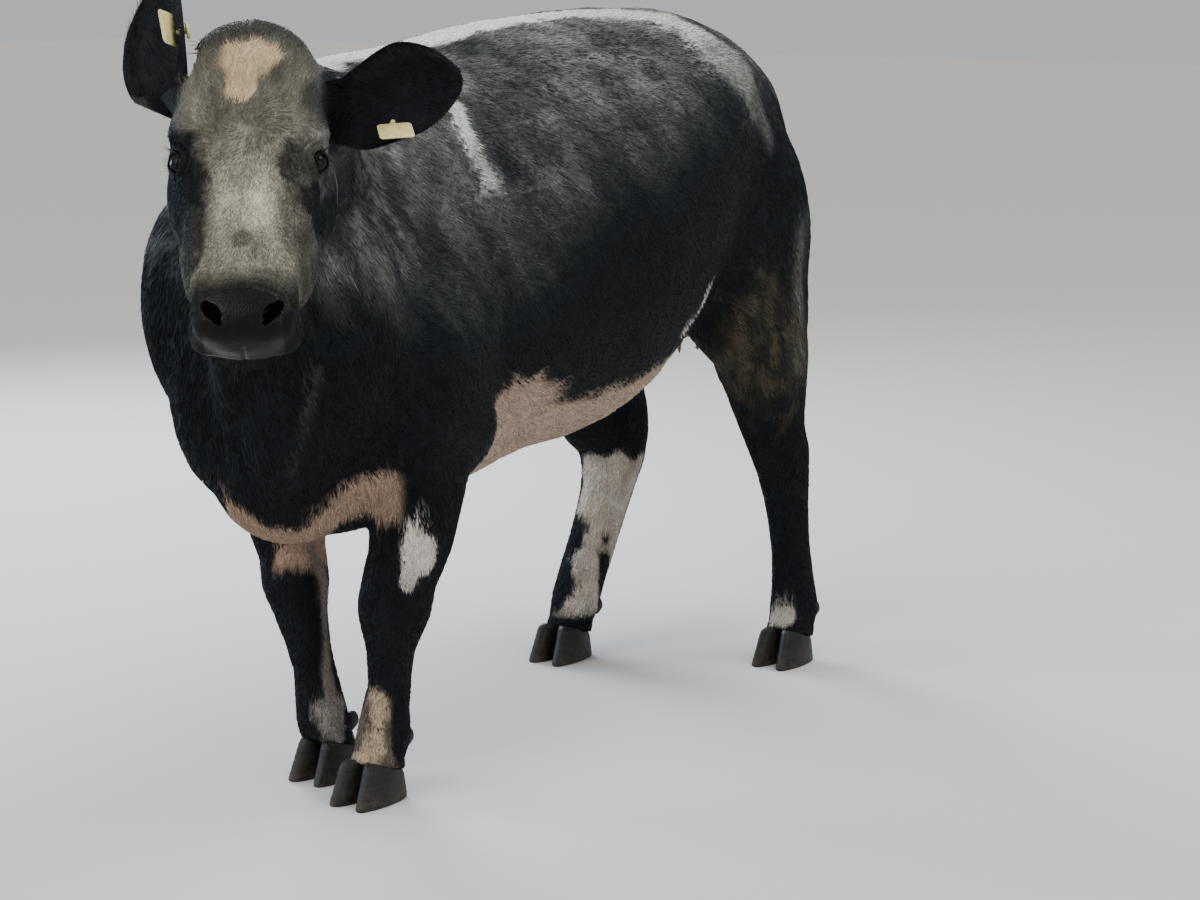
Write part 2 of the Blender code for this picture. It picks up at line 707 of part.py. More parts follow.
def eye_axes(side):
    """Out of the eye, forward along the face and up: the eye looks outward and a little forward."""
    out = (FACE_LEFT * side * 0.82 + FACE_ALONG * 0.16 + FACE_OUT * 0.52).normalized()
    along = (FACE_ALONG - out * FACE_ALONG.dot(out)).normalized()
    return out, along, out.cross(along)


def eye_opening(side):
    """The almond between the lids, as a prism from the eye's middle outward."""
    out, along, up = eye_axes(side)
    half_long, half_high = EYE_OPENING
    middle = on_head(side * EYE_PLACE[0], EYE_PLACE[1], EYE_PLACE[2])
    outline = []
    steps = 8
    for k in range(steps):
        t = -1 + 2 * k / steps
        outline.append((t * half_long, half_high * (1 - t * t)))
    for k in range(steps):
        t = 1 - 2 * k / steps
        outline.append((t * half_long, -half_high * (1 - t * t)))
    bm = bmesh.new()
    low = [bm.verts.new(middle + along * a + up * b + out * 0.004) for a, b in outline]
    high = [bm.verts.new(middle + along * a * 1.25 + up * b * 1.25 + out * 0.06) for a, b in outline]
    bm.faces.new(list(reversed(low)))
    bm.faces.new(high)
    for k in range(len(low)):
        n = (k + 1) % len(low)
        bm.faces.new((low[k], low[n], high[n], high[k]))
    return link_mesh("opening", bm)


def eyes(head_piece):
    """Eyeballs in their sockets, with the lids open over them."""
    for side, name in ((1, "eye_left"), (-1, "eye_right")):
        place = on_head(side * EYE_PLACE[0], EYE_PLACE[1], EYE_PLACE[2])
        grown = EYE_RADIUS + GAP
        socket = swell("socket", place, (grown, grown, grown), fineness=2)
        cut_away(head_piece, [eye_opening(side), socket])
        ball = swell(name, place, (EYE_RADIUS,) * 3, fineness=2)
        coloured(ball, "eye")


def ear_frame(side):
    """Base, direction of length, direction of width and direction that the cup faces."""
    away = FACE_LEFT * side
    ahead = Vector((math.sin(HEAD_TURN), -math.cos(HEAD_TURN), 0))
    base = on_head(side * (0.132 if side > 0 else 0.120), 0.052, 0.004)
    if side > 0:
        length = (away + UP * 0.06 - ahead * 0.16).normalized()
        faces = (ahead - UP * 0.12).normalized()
    else:
        length = (UP * 0.92 + away * 0.18 - ahead * 0.34).normalized()
        faces = (away * 0.62 + ahead * 0.62).normalized()
    faces = (faces - length * faces.dot(length)).normalized()
    width = faces.cross(length)
    far_rim = UP if side > 0 else away
    return base, length, width if width.dot(far_rim) > 0 else -width, faces


# Ear rows: share of the length, share of the half width, depth of the cup, bend back
EAR_ROWS = [
    (0.00, 0.56, 1.20, 0.000),
    (0.10, 0.70, 1.05, 0.000),
    (0.25, 0.90, 0.82, 0.002),
    (0.42, 1.00, 0.60, 0.005),
    (0.60, 0.96, 0.48, 0.010),
    (0.76, 0.76, 0.40, 0.016),
    (0.88, 0.52, 0.34, 0.022),
    (0.96, 0.28, 0.30, 0.027),
    (1.00, 0.10, 0.30, 0.030),
]


def ear(name, side):
    """A cupped leaf of two faces, thick in the middle and thin at the rim."""
    base, length, width, faces = ear_frame(side)
    across = 8
    bm = bmesh.new()
    front, rear = [], []
    for share, broad, cup, bend in eased(EAR_ROWS, 2):
        half = EAR_WIDTH / 2 * broad
        row_front, row_rear = [], []
        for k in range(across + 1):
            v = -1 + 2 * k / across
            rise = cup * half * (v * v - 0.35) * 0.9
            spot = base + length * (share * EAR_LENGTH) + width * (half * v) + faces * rise
            spot -= faces * bend
            thick = EAR_THICKNESS * (1 - 0.62 * v * v) * (0.55 + 0.45 * (1 - share))
            row_front.append(bm.verts.new(spot + faces * thick / 2))
            row_rear.append(bm.verts.new(spot - faces * thick / 2))
        front.append(row_front)
        rear.append(row_rear)
    for rows, flip in ((front, 1), (rear, -1)):
        for low, high in zip(rows, rows[1:]):
            for k in range(across):
                bm.faces.new((low[k], low[k + 1], high[k + 1], high[k])[::flip])
    for low_f, high_f, low_r, high_r in zip(front, front[1:], rear, rear[1:]):
        bm.faces.new((low_f[0], high_f[0], high_r[0], low_r[0]))
        bm.faces.new((high_f[-1], low_f[-1], low_r[-1], high_r[-1]))
    bm.faces.new(front[0][::-1] + rear[0])
    bm.faces.new(front[-1] + rear[-1][::-1])
    return coloured(link_mesh(name, bm), "coat")


def ears_and_tags(head_piece):
    for side, word in ((1, "left"), (-1, "right")):
        base, length, width, faces = ear_frame(side)
        reach = 0.03
        stop = box("ear_stop", base + length * (reach - GAP), (0.06, 0.06, reach), (width, faces, length))
        cut_away(head_piece, [stop])
        ear("ear_" + word, side)
        tag(word, side)


def tag(word, side):
    """A bare plate inside the low rim of the ear and a round button behind it."""
    base, length, width, faces = ear_frame(side)
    along = base + length * (TAG_ALONG * EAR_LENGTH)
    plate_normal = (width * 0.85 + faces * 0.50).normalized()
    plate_up = plate_normal.cross(length).normalized()
    plate = box(
        "ear_tag_" + word,
        along - width * (0.80 * EAR_WIDTH / 2) + faces * 0.034,
        (TAG_WIDTH / 2, TAG_HEIGHT / 2, TAG_THICKNESS / 2),
        (length, plate_up, length.cross(plate_up)),
    )
    plate.hide_render = False
    plate.display_type = "TEXTURED"
    coloured(plate, "tag")
    button_normal = (width * 0.603 + faces * 0.798).normalized()
    middle = along - width * (0.70 * EAR_WIDTH / 2) + faces * 0.0054 - button_normal * 0.0105
    right = button_normal.cross(length).normalized()
    frames = [
        (middle + button_normal * step, right, button_normal.cross(right), (0.013, 0.013, 0.013, 2, 0))
        for step in (-0.0025, 0.0025)
    ]
    coloured(loft("ear_button_" + word, frames, 16), "tag")


def claw_outline(width, toe, heel, side, count=14):
    """A claw from above: straight inside, round outside and pointed in front."""
    points = []
    for k in range(count):
        angle = 2 * math.pi * k / count
        c, s = math.cos(angle), math.sin(angle)
        x = width * (0.5 + 0.5 * math.copysign(abs(c) ** 0.8, c))
        y = -toe * abs(s) ** 0.9 if s > 0 else heel * abs(s) ** 0.8
        if c > 0 and s > 0:
            x -= width * 0.22 * s * s * c
        points.append((side * x, y))
    return points if side > 0 else points[::-1]


def claw(name, foot, side):
    """One horn claw with a flat sole, stopping a gap below the coronet."""
    _, ahead, normal = coronet_axes()
    bm = bmesh.new()
    rings = []
    half_cleft = 0.0018
    levels = [(0.0, 0.94, 0.97), (0.006, 1.0, 1.0), (0.5, 0.97, 0.82), (1.0, 0.94, 0.63)]
    plane_point = foot + UP * CORONET_HEIGHT - normal * (GAP / 2)
    for level, broad, long in levels:
        ring = []
        for x, y in claw_outline(CLAW_WIDTH * broad, CLAW_TOE * long, CLAW_HEEL * (0.6 + 0.4 * long), side):
            x += side * half_cleft
            spin = CLAW_SPLAY * side
            spot = foot + Vector((x * math.cos(spin) - y * math.sin(spin), x * math.sin(spin) + y * math.cos(spin), 0))
            top = plane_point.z - (spot.y - plane_point.y) * math.tan(CORONET_SLOPE)
            height = level if level < 0.1 else level * top
            ring.append(bm.verts.new((spot.x, spot.y, height)))
        rings.append(ring)
    for low, high in zip(rings, rings[1:]):
        for k in range(len(low)):
            n = (k + 1) % len(low)
            bm.faces.new((low[k], low[n], high[n], high[k]))
    bm.faces.new(rings[0][::-1])
    bm.faces.new(rings[-1])
    return coloured(link_mesh(name, bm), "horn")


def claws_and_dewclaws(pieces):
    for leg_name, foot in FEET.items():
        rear = dict((z, (y, back)) for _, y, z, _, back, _ in LEGS[leg_name])
        level = 0.112 if 0.112 in rear else 0.108
        y, back = rear[level]
        for side, word in ((1, "left"), (-1, "right")):
            claw(f"claw_{leg_name}_{word}", foot, side)
            place = (foot.x + side * 0.022, y + back - 0.002, level - 0.012)
            radii = (0.0125, 0.0150, 0.0200)
            grown = tuple(r + GAP for r in radii)
            cut_away(pieces[leg_name + "_lower"], [swell("dew_socket", place, grown, (25, 0, 0), 1)])
            dewclaw = swell(f"dewclaw_{leg_name}_{word}", place, radii, (25, 0, 0), 1)
            coloured(dewclaw, "horn")


def udder_body(name, grow):
    """A small heifer's udder with four short teats."""
    body = swell(name, (0, 1.030, 0.722), (0.074 + grow, 0.086 + grow, 0.054 + grow), fineness=2)
    for x in (-0.032, 0.032):
        for y in (0.995, 1.062):
            teat = swell("teat", (x, y, 0.668), (0.0095 + grow, 0.0095 + grow, 0.030 + grow), fineness=1)
            modified(body, "BOOLEAN", object=teat, operation="UNION", solver="EXACT")
            bpy.data.objects.remove(teat)
    return body


def udder(pieces):
    for piece in ("hindquarters", "hindleg_left_upper", "hindleg_right_upper"):
        cut_away(pieces[piece], [udder_body("udder_room", GAP)])
    coloured(udder_body("udder", 0.0), "udder_skin")


TAIL_ROWS = [
    (0.000, 1.130, 1.215, 0.040, 0.034, 0.034),
    (0.000, 1.190, 1.190, 0.036, 0.032, 0.032),
    (0.000, 1.235, 1.130, 0.031, 0.029, 0.029),
    (0.002, 1.262, 1.040, 0.027, 0.026, 0.026),
    (0.008, 1.276, 0.940, 0.024, 0.023, 0.023),
    (0.022, 1.282, 0.820, 0.021, 0.020, 0.020),
    (0.045, 1.282, 0.690, 0.019, 0.019, 0.019),
    (0.068, 1.280, SWITCH_TOP, 0.017, 0.017, 0.017),
    (0.072, 1.280, SWITCH_TOP - 0.030, 0.016, 0.016, 0.016),
]


def tail_loft(name, grow):
    rows = [(x, y, z, half + grow, up + grow, low + grow, 2, 0) for x, y, z, half, up, low in TAIL_ROWS]
    frames = along_path(rows, Vector((1, 0, 0)), 3)
    if grow:
        centre, right, up, numbers = frames[0]
        ahead = up.cross(right).normalized()
        frames[0] = (centre - ahead * grow * math.copysign(1, ahead.dot(frames[1][0] - centre)), right, up, numbers)
    return loft(name, frames, 12)


def lock(start, end, sag, width, spin):
    """One flat lock of hair, tapering to a point, as a closed strip of few triangles."""
    bm = bmesh.new()
    rings = []
    steps = 4
    flat = 0.34
    for i in range(steps):
        t = i / steps
        centre = start.lerp(end, t) + sag * math.sin(math.pi * t)
        half = width * (1 - t) ** 0.55
        right = Vector((math.cos(spin), math.sin(spin), 0)) * half
        deep = Vector((-math.sin(spin), math.cos(spin), 0)) * half * flat
        corners = (right, deep, -right, -deep)
        rings.append([bm.verts.new(centre + corner) for corner in corners])
    point = bm.verts.new(end)
    for low, high in zip(rings, rings[1:]):
        for k in range(4):
            n = (k + 1) % 4
            bm.faces.new((low[k], low[n], high[n], high[k]))
    for k in range(4):
        bm.faces.new((rings[-1][k], rings[-1][(k + 1) % 4], point))
    bm.faces.new(rings[0][::-1])
    return link_mesh("lock", bm)


def tail_switch():
    """Overlapping locks hung round a core below the tail."""
    x, y, _, half, _, _ = TAIL_ROWS[-2]
    top = SWITCH_TOP - GAP
    rows = [
        (x, y, top, half + 0.003, half + 0.003, half + 0.003, 2, 0),
        (x, y, top - 0.07, 0.026, 0.026, 0.026, 2, 0),
        (x, y, top - 0.15, 0.020, 0.020, 0.020, 2, 0),
        (x, y, top - 0.19, 0.008, 0.008, 0.008, 2, 0),
    ]
    core = loft("tail_switch", along_path(rows, Vector((1, 0, 0)), 2), 10)
    chance = random.Random(7)
    locks = bpy.data.collections.new("locks")
    for k in range(SWITCH_LOCKS):
        angle = 2 * math.pi * (k * 0.618 + 0.1 * chance.random())
        drop = 0.018 + 0.10 * (k / SWITCH_LOCKS)
        out = Vector((math.cos(angle), math.sin(angle), 0))
        start = Vector((x, y, top - drop)) + out * 0.013
        length = chance.uniform(0.13, 0.19)
        spread = chance.uniform(0.010, 0.030)
        end = Vector((x, y, max(start.z - length, SWITCH_END))) + out * spread
        sag = out * chance.uniform(0.006, 0.014)
        strand = lock(start, end, sag, chance.uniform(0.009, 0.013), angle + math.pi / 2)
        bpy.context.scene.collection.objects.unlink(strand)
        locks.objects.link(strand)
    modified(core, "BOOLEAN", operand_type="COLLECTION", collection=locks, operation="UNION", solver="EXACT")
    for strand in list(locks.objects):
        bpy.data.objects.remove(strand)
    bpy.data.collections.remove(locks)
    core = only_largest(core)
    coloured(core, "tail_hair")


def tail(pieces):
    cut_away(pieces["hindquarters"], [tail_loft("tail_room", GAP)])
    whole = tail_loft("tail", 0.0)
    tip = box("below_tail", (0.07, 1.28, SWITCH_TOP - 0.05), (0.06, 0.06, 0.05))
    middle = slab("tail_cut", (0.02, 1.28, TAIL_CUT_HEIGHT), (0, 0, 1), (1, 0, 0), 0.06, 0.08)
    cut_away(whole, [tip, middle])
    upper, lower = sorted(loose_pieces(whole), key=lambda piece: -centre_of(piece).z)[:2]
    upper.name, lower.name = "tail_upper", "tail_lower"
    coloured(upper, "coat")
    coloured(lower, "coat")
    tail_switch()


def centred():
    """Moves everything so that the origin is on the floor below the middle of the model."""
    objects = list(bpy.context.scene.collection.objects)
    points = [vertex.co for obj in objects for vertex in obj.data.vertices]
    shift = Vector([-(min(p[i] for p in points) + max(p[i] for p in points)) / 2 for i in (0, 1)] + [0])
    for obj in objects:
        obj.data.transform(Matrix.Translation(shift))


def main():
    clear_scene()
    hide = fused_hide()
    thinned(hide)
    pieces = parted(hide)
    eyes(pieces["head"])
    nostrils(pieces["head"])
    ears_and_tags(pieces["head"])
    claws_and_dewclaws(pieces)
    udder(pieces)
    tail(pieces)
    for name in PIECES:
        piece = only_largest(bpy.data.objects[name])
        coloured(piece, "coat")
    centred()


main()
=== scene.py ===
"""Looks of the Belgian Blue cross heifer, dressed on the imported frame.

One skin replaces the flesh, and thin tufts of short coat lie on it. Eyes, claws, ear tags and
the long hair of the tail are pieces of their own. Sizes named here repeat the part's own, in
metres. The heifer faces -Y, its left side is +X and the floor is Z = 0.
"""

import math

import bmesh
import bpy
import numpy as np
from mathutils import Matrix, Vector
from mathutils.bvhtree import BVHTree


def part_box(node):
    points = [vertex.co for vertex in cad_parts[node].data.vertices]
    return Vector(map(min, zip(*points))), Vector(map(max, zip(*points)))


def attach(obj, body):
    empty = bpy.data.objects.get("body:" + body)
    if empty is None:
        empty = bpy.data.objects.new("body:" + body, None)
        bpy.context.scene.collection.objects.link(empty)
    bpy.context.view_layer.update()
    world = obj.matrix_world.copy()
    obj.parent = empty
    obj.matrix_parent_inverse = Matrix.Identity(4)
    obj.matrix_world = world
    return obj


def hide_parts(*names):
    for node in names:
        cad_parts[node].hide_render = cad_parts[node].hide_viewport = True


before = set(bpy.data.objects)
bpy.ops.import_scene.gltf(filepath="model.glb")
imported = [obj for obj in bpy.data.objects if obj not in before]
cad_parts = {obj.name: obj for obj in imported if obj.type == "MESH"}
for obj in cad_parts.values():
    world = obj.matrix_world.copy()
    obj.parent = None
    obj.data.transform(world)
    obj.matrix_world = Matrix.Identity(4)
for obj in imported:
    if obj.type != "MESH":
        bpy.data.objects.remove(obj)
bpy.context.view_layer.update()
CHANCE = np.random.default_rng(11)

# The head's frame, as the part has it
HEAD_TURN = math.radians(38)
FACE_SLOPE = math.radians(45)
EYE_ALONG = 0.19
EYES_MIDDLE = np.array((0.218, -0.488, 1.137))
EYE_PLACE = (0.098, 0.202, 0.011)
EYE_RADIUS = 0.0205
FACE_ALONG = np.array(
    (
        math.sin(HEAD_TURN) * math.cos(FACE_SLOPE),
        -math.cos(HEAD_TURN) * math.cos(FACE_SLOPE),
        -math.sin(FACE_SLOPE),
    )
)
FACE_LEFT = np.array((math.cos(HEAD_TURN), math.sin(HEAD_TURN), 0))
FACE_OUT = np.cross(FACE_ALONG, FACE_LEFT)
UP = np.array((0.0, 0.0, 1.0))

LEG_NODES = [
    f"{leg}_{side}_{part}"
    for leg in ("foreleg", "hindleg")
    for side in ("left", "right")
    for part in ("upper", "lower")
]
FLESH = ["head", "neck", "torso", "hindquarters", "udder", "tail_upper", "tail_lower"] + LEG_NODES

# Skin mesh
GROW = 0.0008
VOXEL = 0.006
SKIN_DEPTH = 0.0022
BODY_TRIANGLES = 48000
MOST_SKIN_TRIANGLES = 190000

# Coat: tufts in all, the length of a tuft by place, its width, its tip's height and its root's depth
TUFTS = 225000
TUFT_LENGTH = 0.019
LEG_TUFT_LENGTH = 0.010
FACE_TUFT_LENGTH = 0.015
EAR_TUFT_LENGTHS = (0.008, 0.014)
TUFT_WIDTH = 0.0019
TUFT_RISE = 0.0022
TUFT_DEPTH = 0.0016

# The sign of X on each side, and the word for it
SIDES = ((1, "left"), (-1, "right"))


def box_of(name):
    """Low corner, high corner and middle of a CAD node's box."""
    low, high = (np.array(corner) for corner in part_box(name))
    return low, high, (low + high) / 2


# How far the imported model sits from the part's own frame, and the head's origin
SHIFT = (box_of("eye_left")[2] + box_of("eye_right")[2]) / 2
SHIFT = SHIFT - EYES_MIDDLE - FACE_ALONG * (EYE_PLACE[1] - EYE_ALONG) - FACE_OUT * EYE_PLACE[2]
SHIFT[2] = 0.0
POLL = EYES_MIDDLE - FACE_ALONG * EYE_ALONG


def on_head(left, along, out):
    """A point in the world from the head's own numbers."""
    return POLL + SHIFT + FACE_LEFT * left + FACE_ALONG * along + FACE_OUT * out


def head_numbers(points):
    """Left, along and out of each point in the head's frame."""
    away = points - (POLL + SHIFT)
    return away @ FACE_LEFT, away @ FACE_ALONG, away @ FACE_OUT


def head_places(points):
    return np.stack(head_numbers(points), axis=1)


def eye_centre(side):
    return on_head(side * EYE_PLACE[0], EYE_PLACE[1], EYE_PLACE[2])


def eye_distance(points, side):
    return np.linalg.norm(points - eye_centre(side), axis=1)


def ramp(value, start, end):
    """0 at start, 1 at end, eased between."""
    share = np.clip((value - start) / (end - start), 0, 1)
    return share * share * (3 - 2 * share)


def fall(value, start, end):
    """1 at start, 0 at end, eased between."""
    return 1 - ramp(value, start, end)


def hump(distance, width):
    """1 on a line or point, fading to 0 beyond the width."""
    return np.exp(-((distance / width) ** 2))


def blend(first, second, share):
    """The first where the share is 0, the second where it is 1, for numbers or rows of three."""
    if np.ndim(first) == 2:
        share = share[:, None]
    return first * (1 - share) + np.asarray(second) * share


def columns(*parts):
    """Numbers and arrays side by side, one row for each point."""
    return np.stack(np.broadcast_arrays(*parts), axis=1)


def stepped(value, rows):
    """Straight lines between rows of place and height."""
    return np.interp(value, *zip(*rows))


def unit(vectors):
    return vectors / np.maximum(np.linalg.norm(vectors, axis=-1, keepdims=True), 1e-9)


def along_surface(ways, normals):
    return unit(ways - normals * np.sum(ways * normals, axis=1)[:, None])


def face_weight(points, start=-0.02, end=0.04, jaw=(-0.22, -0.17), front=(0.20, 0.25)):
    """1 on the face, 0 behind it and below the jaw."""
    _, along, out = head_numbers(points)
    return ramp(along, start, end) * ramp(out, *jaw) * ramp(SHIFT[1] - points[:, 1], *front)


def noise(points, size, seed=0):
    """Smooth noise from 0 to 1, with features of this size in metres."""
    scaled = points / np.asarray(size) + 31.7 * (seed + 1)
    cell = np.floor(scaled).astype(np.int64)
    part = scaled - cell
    part = part * part * (3 - 2 * part)
    total = np.zeros(len(points))
    for corner in range(8):
        step = np.array((corner & 1, corner >> 1 & 1, corner >> 2 & 1))
        at = cell + step
        key = at[:, 0] * 73856093 ^ at[:, 1] * 19349663 ^ at[:, 2] * 83492791 ^ (seed * 2654435761)
        key = (key ^ (key >> 13)) * 1274126177 & 0x7FFFFFFF
        key = (key ^ (key >> 11)) & 0xFFFF
        total += np.prod(np.where(step, part, 1 - part), axis=1) * key / 65535
    return total


def uneven(points, size, seed=0):
    """The same noise from -0.5 to 0.5."""
    return noise(points, size, seed) - 0.5


# Mesh helpers


def new_object(name, mesh):
    obj = bpy.data.objects.new(name, mesh)
    bpy.context.scene.collection.objects.link(obj)
    return obj


def mesh_object(name, points, faces, smooth=True):
    """A mesh from arrays of points and of faces with the same number of corners."""
    faces = np.asarray(faces, dtype=np.int32)
    mesh = bpy.data.meshes.new(name)
    mesh.vertices.add(len(points))
    mesh.vertices.foreach_set("co", np.asarray(points, dtype=np.float32).ravel())
    corners = faces.shape[1]
    mesh.loops.add(faces.size)
    mesh.loops.foreach_set("vertex_index", faces.ravel())
    mesh.polygons.add(len(faces))
    mesh.polygons.foreach_set("loop_start", np.arange(len(faces), dtype=np.int32) * corners)
    mesh.update(calc_edges=True)
    mesh.validate()
    if smooth:
        mesh.shade_smooth()
    return new_object(name, mesh)


def bmesh_object(name, bm):
    bmesh.ops.recalc_face_normals(bm, faces=bm.faces)
    mesh = bpy.data.meshes.new(name)
    bm.to_mesh(mesh)
    bm.free()
    mesh.shade_smooth()
    return new_object(name, mesh)


def read(rows, field, width, kind=np.float32):
    """One field of a mesh's rows as an array."""
    values = np.empty(len(rows) * width, kind)
    rows.foreach_get(field, values)
    return values.reshape(-1, width)


def points_of(obj):
    return read(obj.data.vertices, "co", 3).astype(np.float64)


def set_points(obj, points):
    obj.data.vertices.foreach_set("co", np.asarray(points, np.float32).ravel())
    obj.data.update()


def normals_of(obj):
    return read(obj.data.vertex_normals, "vector", 3).astype(np.float64)


def edges_of(obj):
    return read(obj.data.edges, "vertices", 2, np.int32)


def applied(obj):
    """Applies the modifiers and removes them."""
    bpy.context.view_layer.update()
    graph = bpy.context.evaluated_depsgraph_get()
    mesh = bpy.data.meshes.new_from_object(obj.evaluated_get(graph))
    obj.modifiers.clear()
    obj.data = mesh
    return obj


def modified(obj, kind, **settings):
    """Adds a modifier and applies it."""
    modifier = obj.modifiers.new(kind, kind)
    for key, value in settings.items():
        setattr(modifier, key, value)
    return applied(obj)


def smoothed(obj, rounds, weight=1.0, shrink=0.5, swell=-0.53):
    """Evens out the surface without thinning it. The weight is per point."""
    edges = edges_of(obj)
    points = points_of(obj)
    count = np.bincount(edges.ravel(), minlength=len(points))[:, None]
    weight = np.broadcast_to(np.asarray(weight, float).reshape(-1, 1), (len(points), 1))
    for _ in range(rounds):
        for factor in (shrink, swell):
            total = np.empty_like(points)
            for axis in range(3):
                first = np.bincount(edges[:, 0], points[edges[:, 1], axis], len(points))
                second = np.bincount(edges[:, 1], points[edges[:, 0], axis], len(points))
                total[:, axis] = first + second
            points = points + (total / np.maximum(count, 1) - points) * factor * weight
    set_points(obj, points)
    return obj


def keep_largest(obj):
    """Drops every separate surface but the largest."""
    edges = edges_of(obj)
    size = len(obj.data.vertices)
    label = np.arange(size)
    while True:
        low = np.minimum(label[edges[:, 0]], label[edges[:, 1]])
        fresh = label.copy()
        np.minimum.at(fresh, edges[:, 0], low)
        np.minimum.at(fresh, edges[:, 1], low)
        fresh = fresh[fresh]
        if np.array_equal(fresh, label):
            break
        label = fresh
    keep = label == np.bincount(label, minlength=size).argmax()
    if not keep.all():
        bm = bmesh.new()
        bm.from_mesh(obj.data)
        bm.verts.ensure_lookup_table()
        scraps = [bm.verts[index] for index in np.flatnonzero(~keep)]
        bmesh.ops.delete(bm, geom=scraps, context="VERTS")
        bm.to_mesh(obj.data)
        bm.free()
    return obj


def eased(rows, steps):
    """Rows of numbers joined by a smooth curve through them."""
    rows = np.asarray(rows, float)
    last = len(rows) - 1
    curve = []
    for row in range(last):
        before, here, after, beyond = (rows[min(max(row + k, 0), last)] for k in (-1, 0, 1, 2))
        cubic = (
            2 * here,
            after - before,
            2 * before - 5 * here + 4 * after - beyond,
            3 * here - before - 3 * after + beyond,
        )
        for step in range(steps):
            share = step / steps
            curve.append(0.5 * sum(part * share**power for power, part in enumerate(cubic)))
    curve.append(rows[-1])
    return np.array(curve)


def line_distance(points, line):
    """Distance of each point from a run of straight lines, in as many dimensions as given."""
    best = np.full(len(points), 9.0)
    line = np.asarray(line, float)
    for start, end in zip(line, line[1:]):
        run = end - start
        share = np.clip((points - start) @ run / (run @ run), 0, 1)
        best = np.minimum(best, np.linalg.norm(points - start - share[:, None] * run, axis=1))
    return best


def turns(count):
    """The angles of a full turn in equal steps."""
    return [2 * math.pi * k / count for k in range(count)]


def signed_power(value, power):
    return math.copysign(abs(value) ** power, value)


def lofted(name, rings, ends):
    """A tube through rings of points, each end closed by a face, a fan or a single point."""
    bm = bmesh.new()
    rows = [[bm.verts.new(place) for place in ring] for ring in rings]
    count = len(rows[0])
    for low, high in zip(rows, rows[1:]):
        for k in range(count):
            after = (k + 1) % count
            bm.faces.new((low[k], low[after], high[after], high[k]))
    if ends == "face":
        caps = [bm.faces.new(rows[0][::-1]), bm.faces.new(rows[-1])]
        bmesh.ops.triangulate(bm, faces=caps)
    elif ends == "fan":
        for row in (rows[0], rows[-1]):
            centre = bm.verts.new(sum((vert.co for vert in row), Vector()) / count)
            for k in range(count):
                bm.faces.new((row[k], row[(k + 1) % count], centre))
    else:
        bmesh.ops.remove_doubles(bm, verts=bm.verts, dist=1e-6)
    return bmesh_object(name, bm)


def ball(name, centre, radii, fineness=3, axes=None):
    bm = bmesh.new()
    bmesh.ops.create_icosphere(bm, subdivisions=fineness, radius=1)
    turning = Matrix.Identity(4)
    if axes:
        turning = Matrix([list(axis) for axis in axes]).transposed().to_4x4()
    matrix = Matrix.Translation(Vector(centre)) @ turning @ Matrix.Diagonal((*radii, 1))
    bmesh.ops.transform(bm, matrix=matrix, verts=bm.verts)
    return bmesh_object(name, bm)


def joined(name, objects):
    bm = bmesh.new()
    for obj in objects:
        bm.from_mesh(obj.data)
        bpy.data.objects.remove(obj)
    return bmesh_object(name, bm)


def cut(obj, cutter, operation="DIFFERENCE"):
    modified(obj, "BOOLEAN", object=cutter, operation=operation, solver="MANIFOLD")
    bpy.data.objects.remove(cutter)
    return obj


# Markings. A tone runs from 0, blue-black, to 1, white.

TONES = (0.0, 0.25, 0.45, 0.62, 0.80, 1.0)
TONE_COLOURS = np.array(
    (
        (0.0040, 0.0050, 0.0068),
        (0.0115, 0.0142, 0.0170),
        (0.0450, 0.0480, 0.0470),
        (0.1270, 0.1290, 0.1200),
        (0.2900, 0.2850, 0.2650),
        (0.7600, 0.7400, 0.7000),
    )
)
CREAM = (0.52, 0.395, 0.245)
TAN = (0.36, 0.245, 0.175)
BELLY_TAN = (0.43, 0.315, 0.24)
PASTERN_TAN = (0.38, 0.29, 0.20)
INNER_GREY = (0.20, 0.165, 0.145)
MUD = (0.058, 0.047, 0.030)
LID_BLACK = (0.010, 0.008, 0.008)
NOSE_BLACK = (0.0065, 0.0050, 0.0045)
UDDER_PINK = (0.42, 0.29, 0.24)


def tone_colour(tone):
    return np.stack([np.interp(tone, TONES, TONE_COLOURS[:, k]) for k in range(3)], axis=1)


def blob(place, centre, radii, soft=0.18, ragged=0.35, grain=0.020, seed=0):
    """1 inside a ragged-edged patch, 0 outside."""
    away = np.linalg.norm((place - np.array(centre)) / np.array(radii), axis=1)
    edge = uneven(place, grain, seed) + 0.5 * uneven(place, grain / 3, seed + 9)
    return fall(away + ragged * edge, 1 - soft, 1 + soft)


def stripe(place, line, width, soft=0.3, ragged=0.5, grain=0.02, seed=0):
    """1 on a ragged-edged line, 0 away from it."""
    away = line_distance(place, line) / width
    return fall(away + ragged * uneven(place, grain, seed), 1 - soft, 1 + soft)
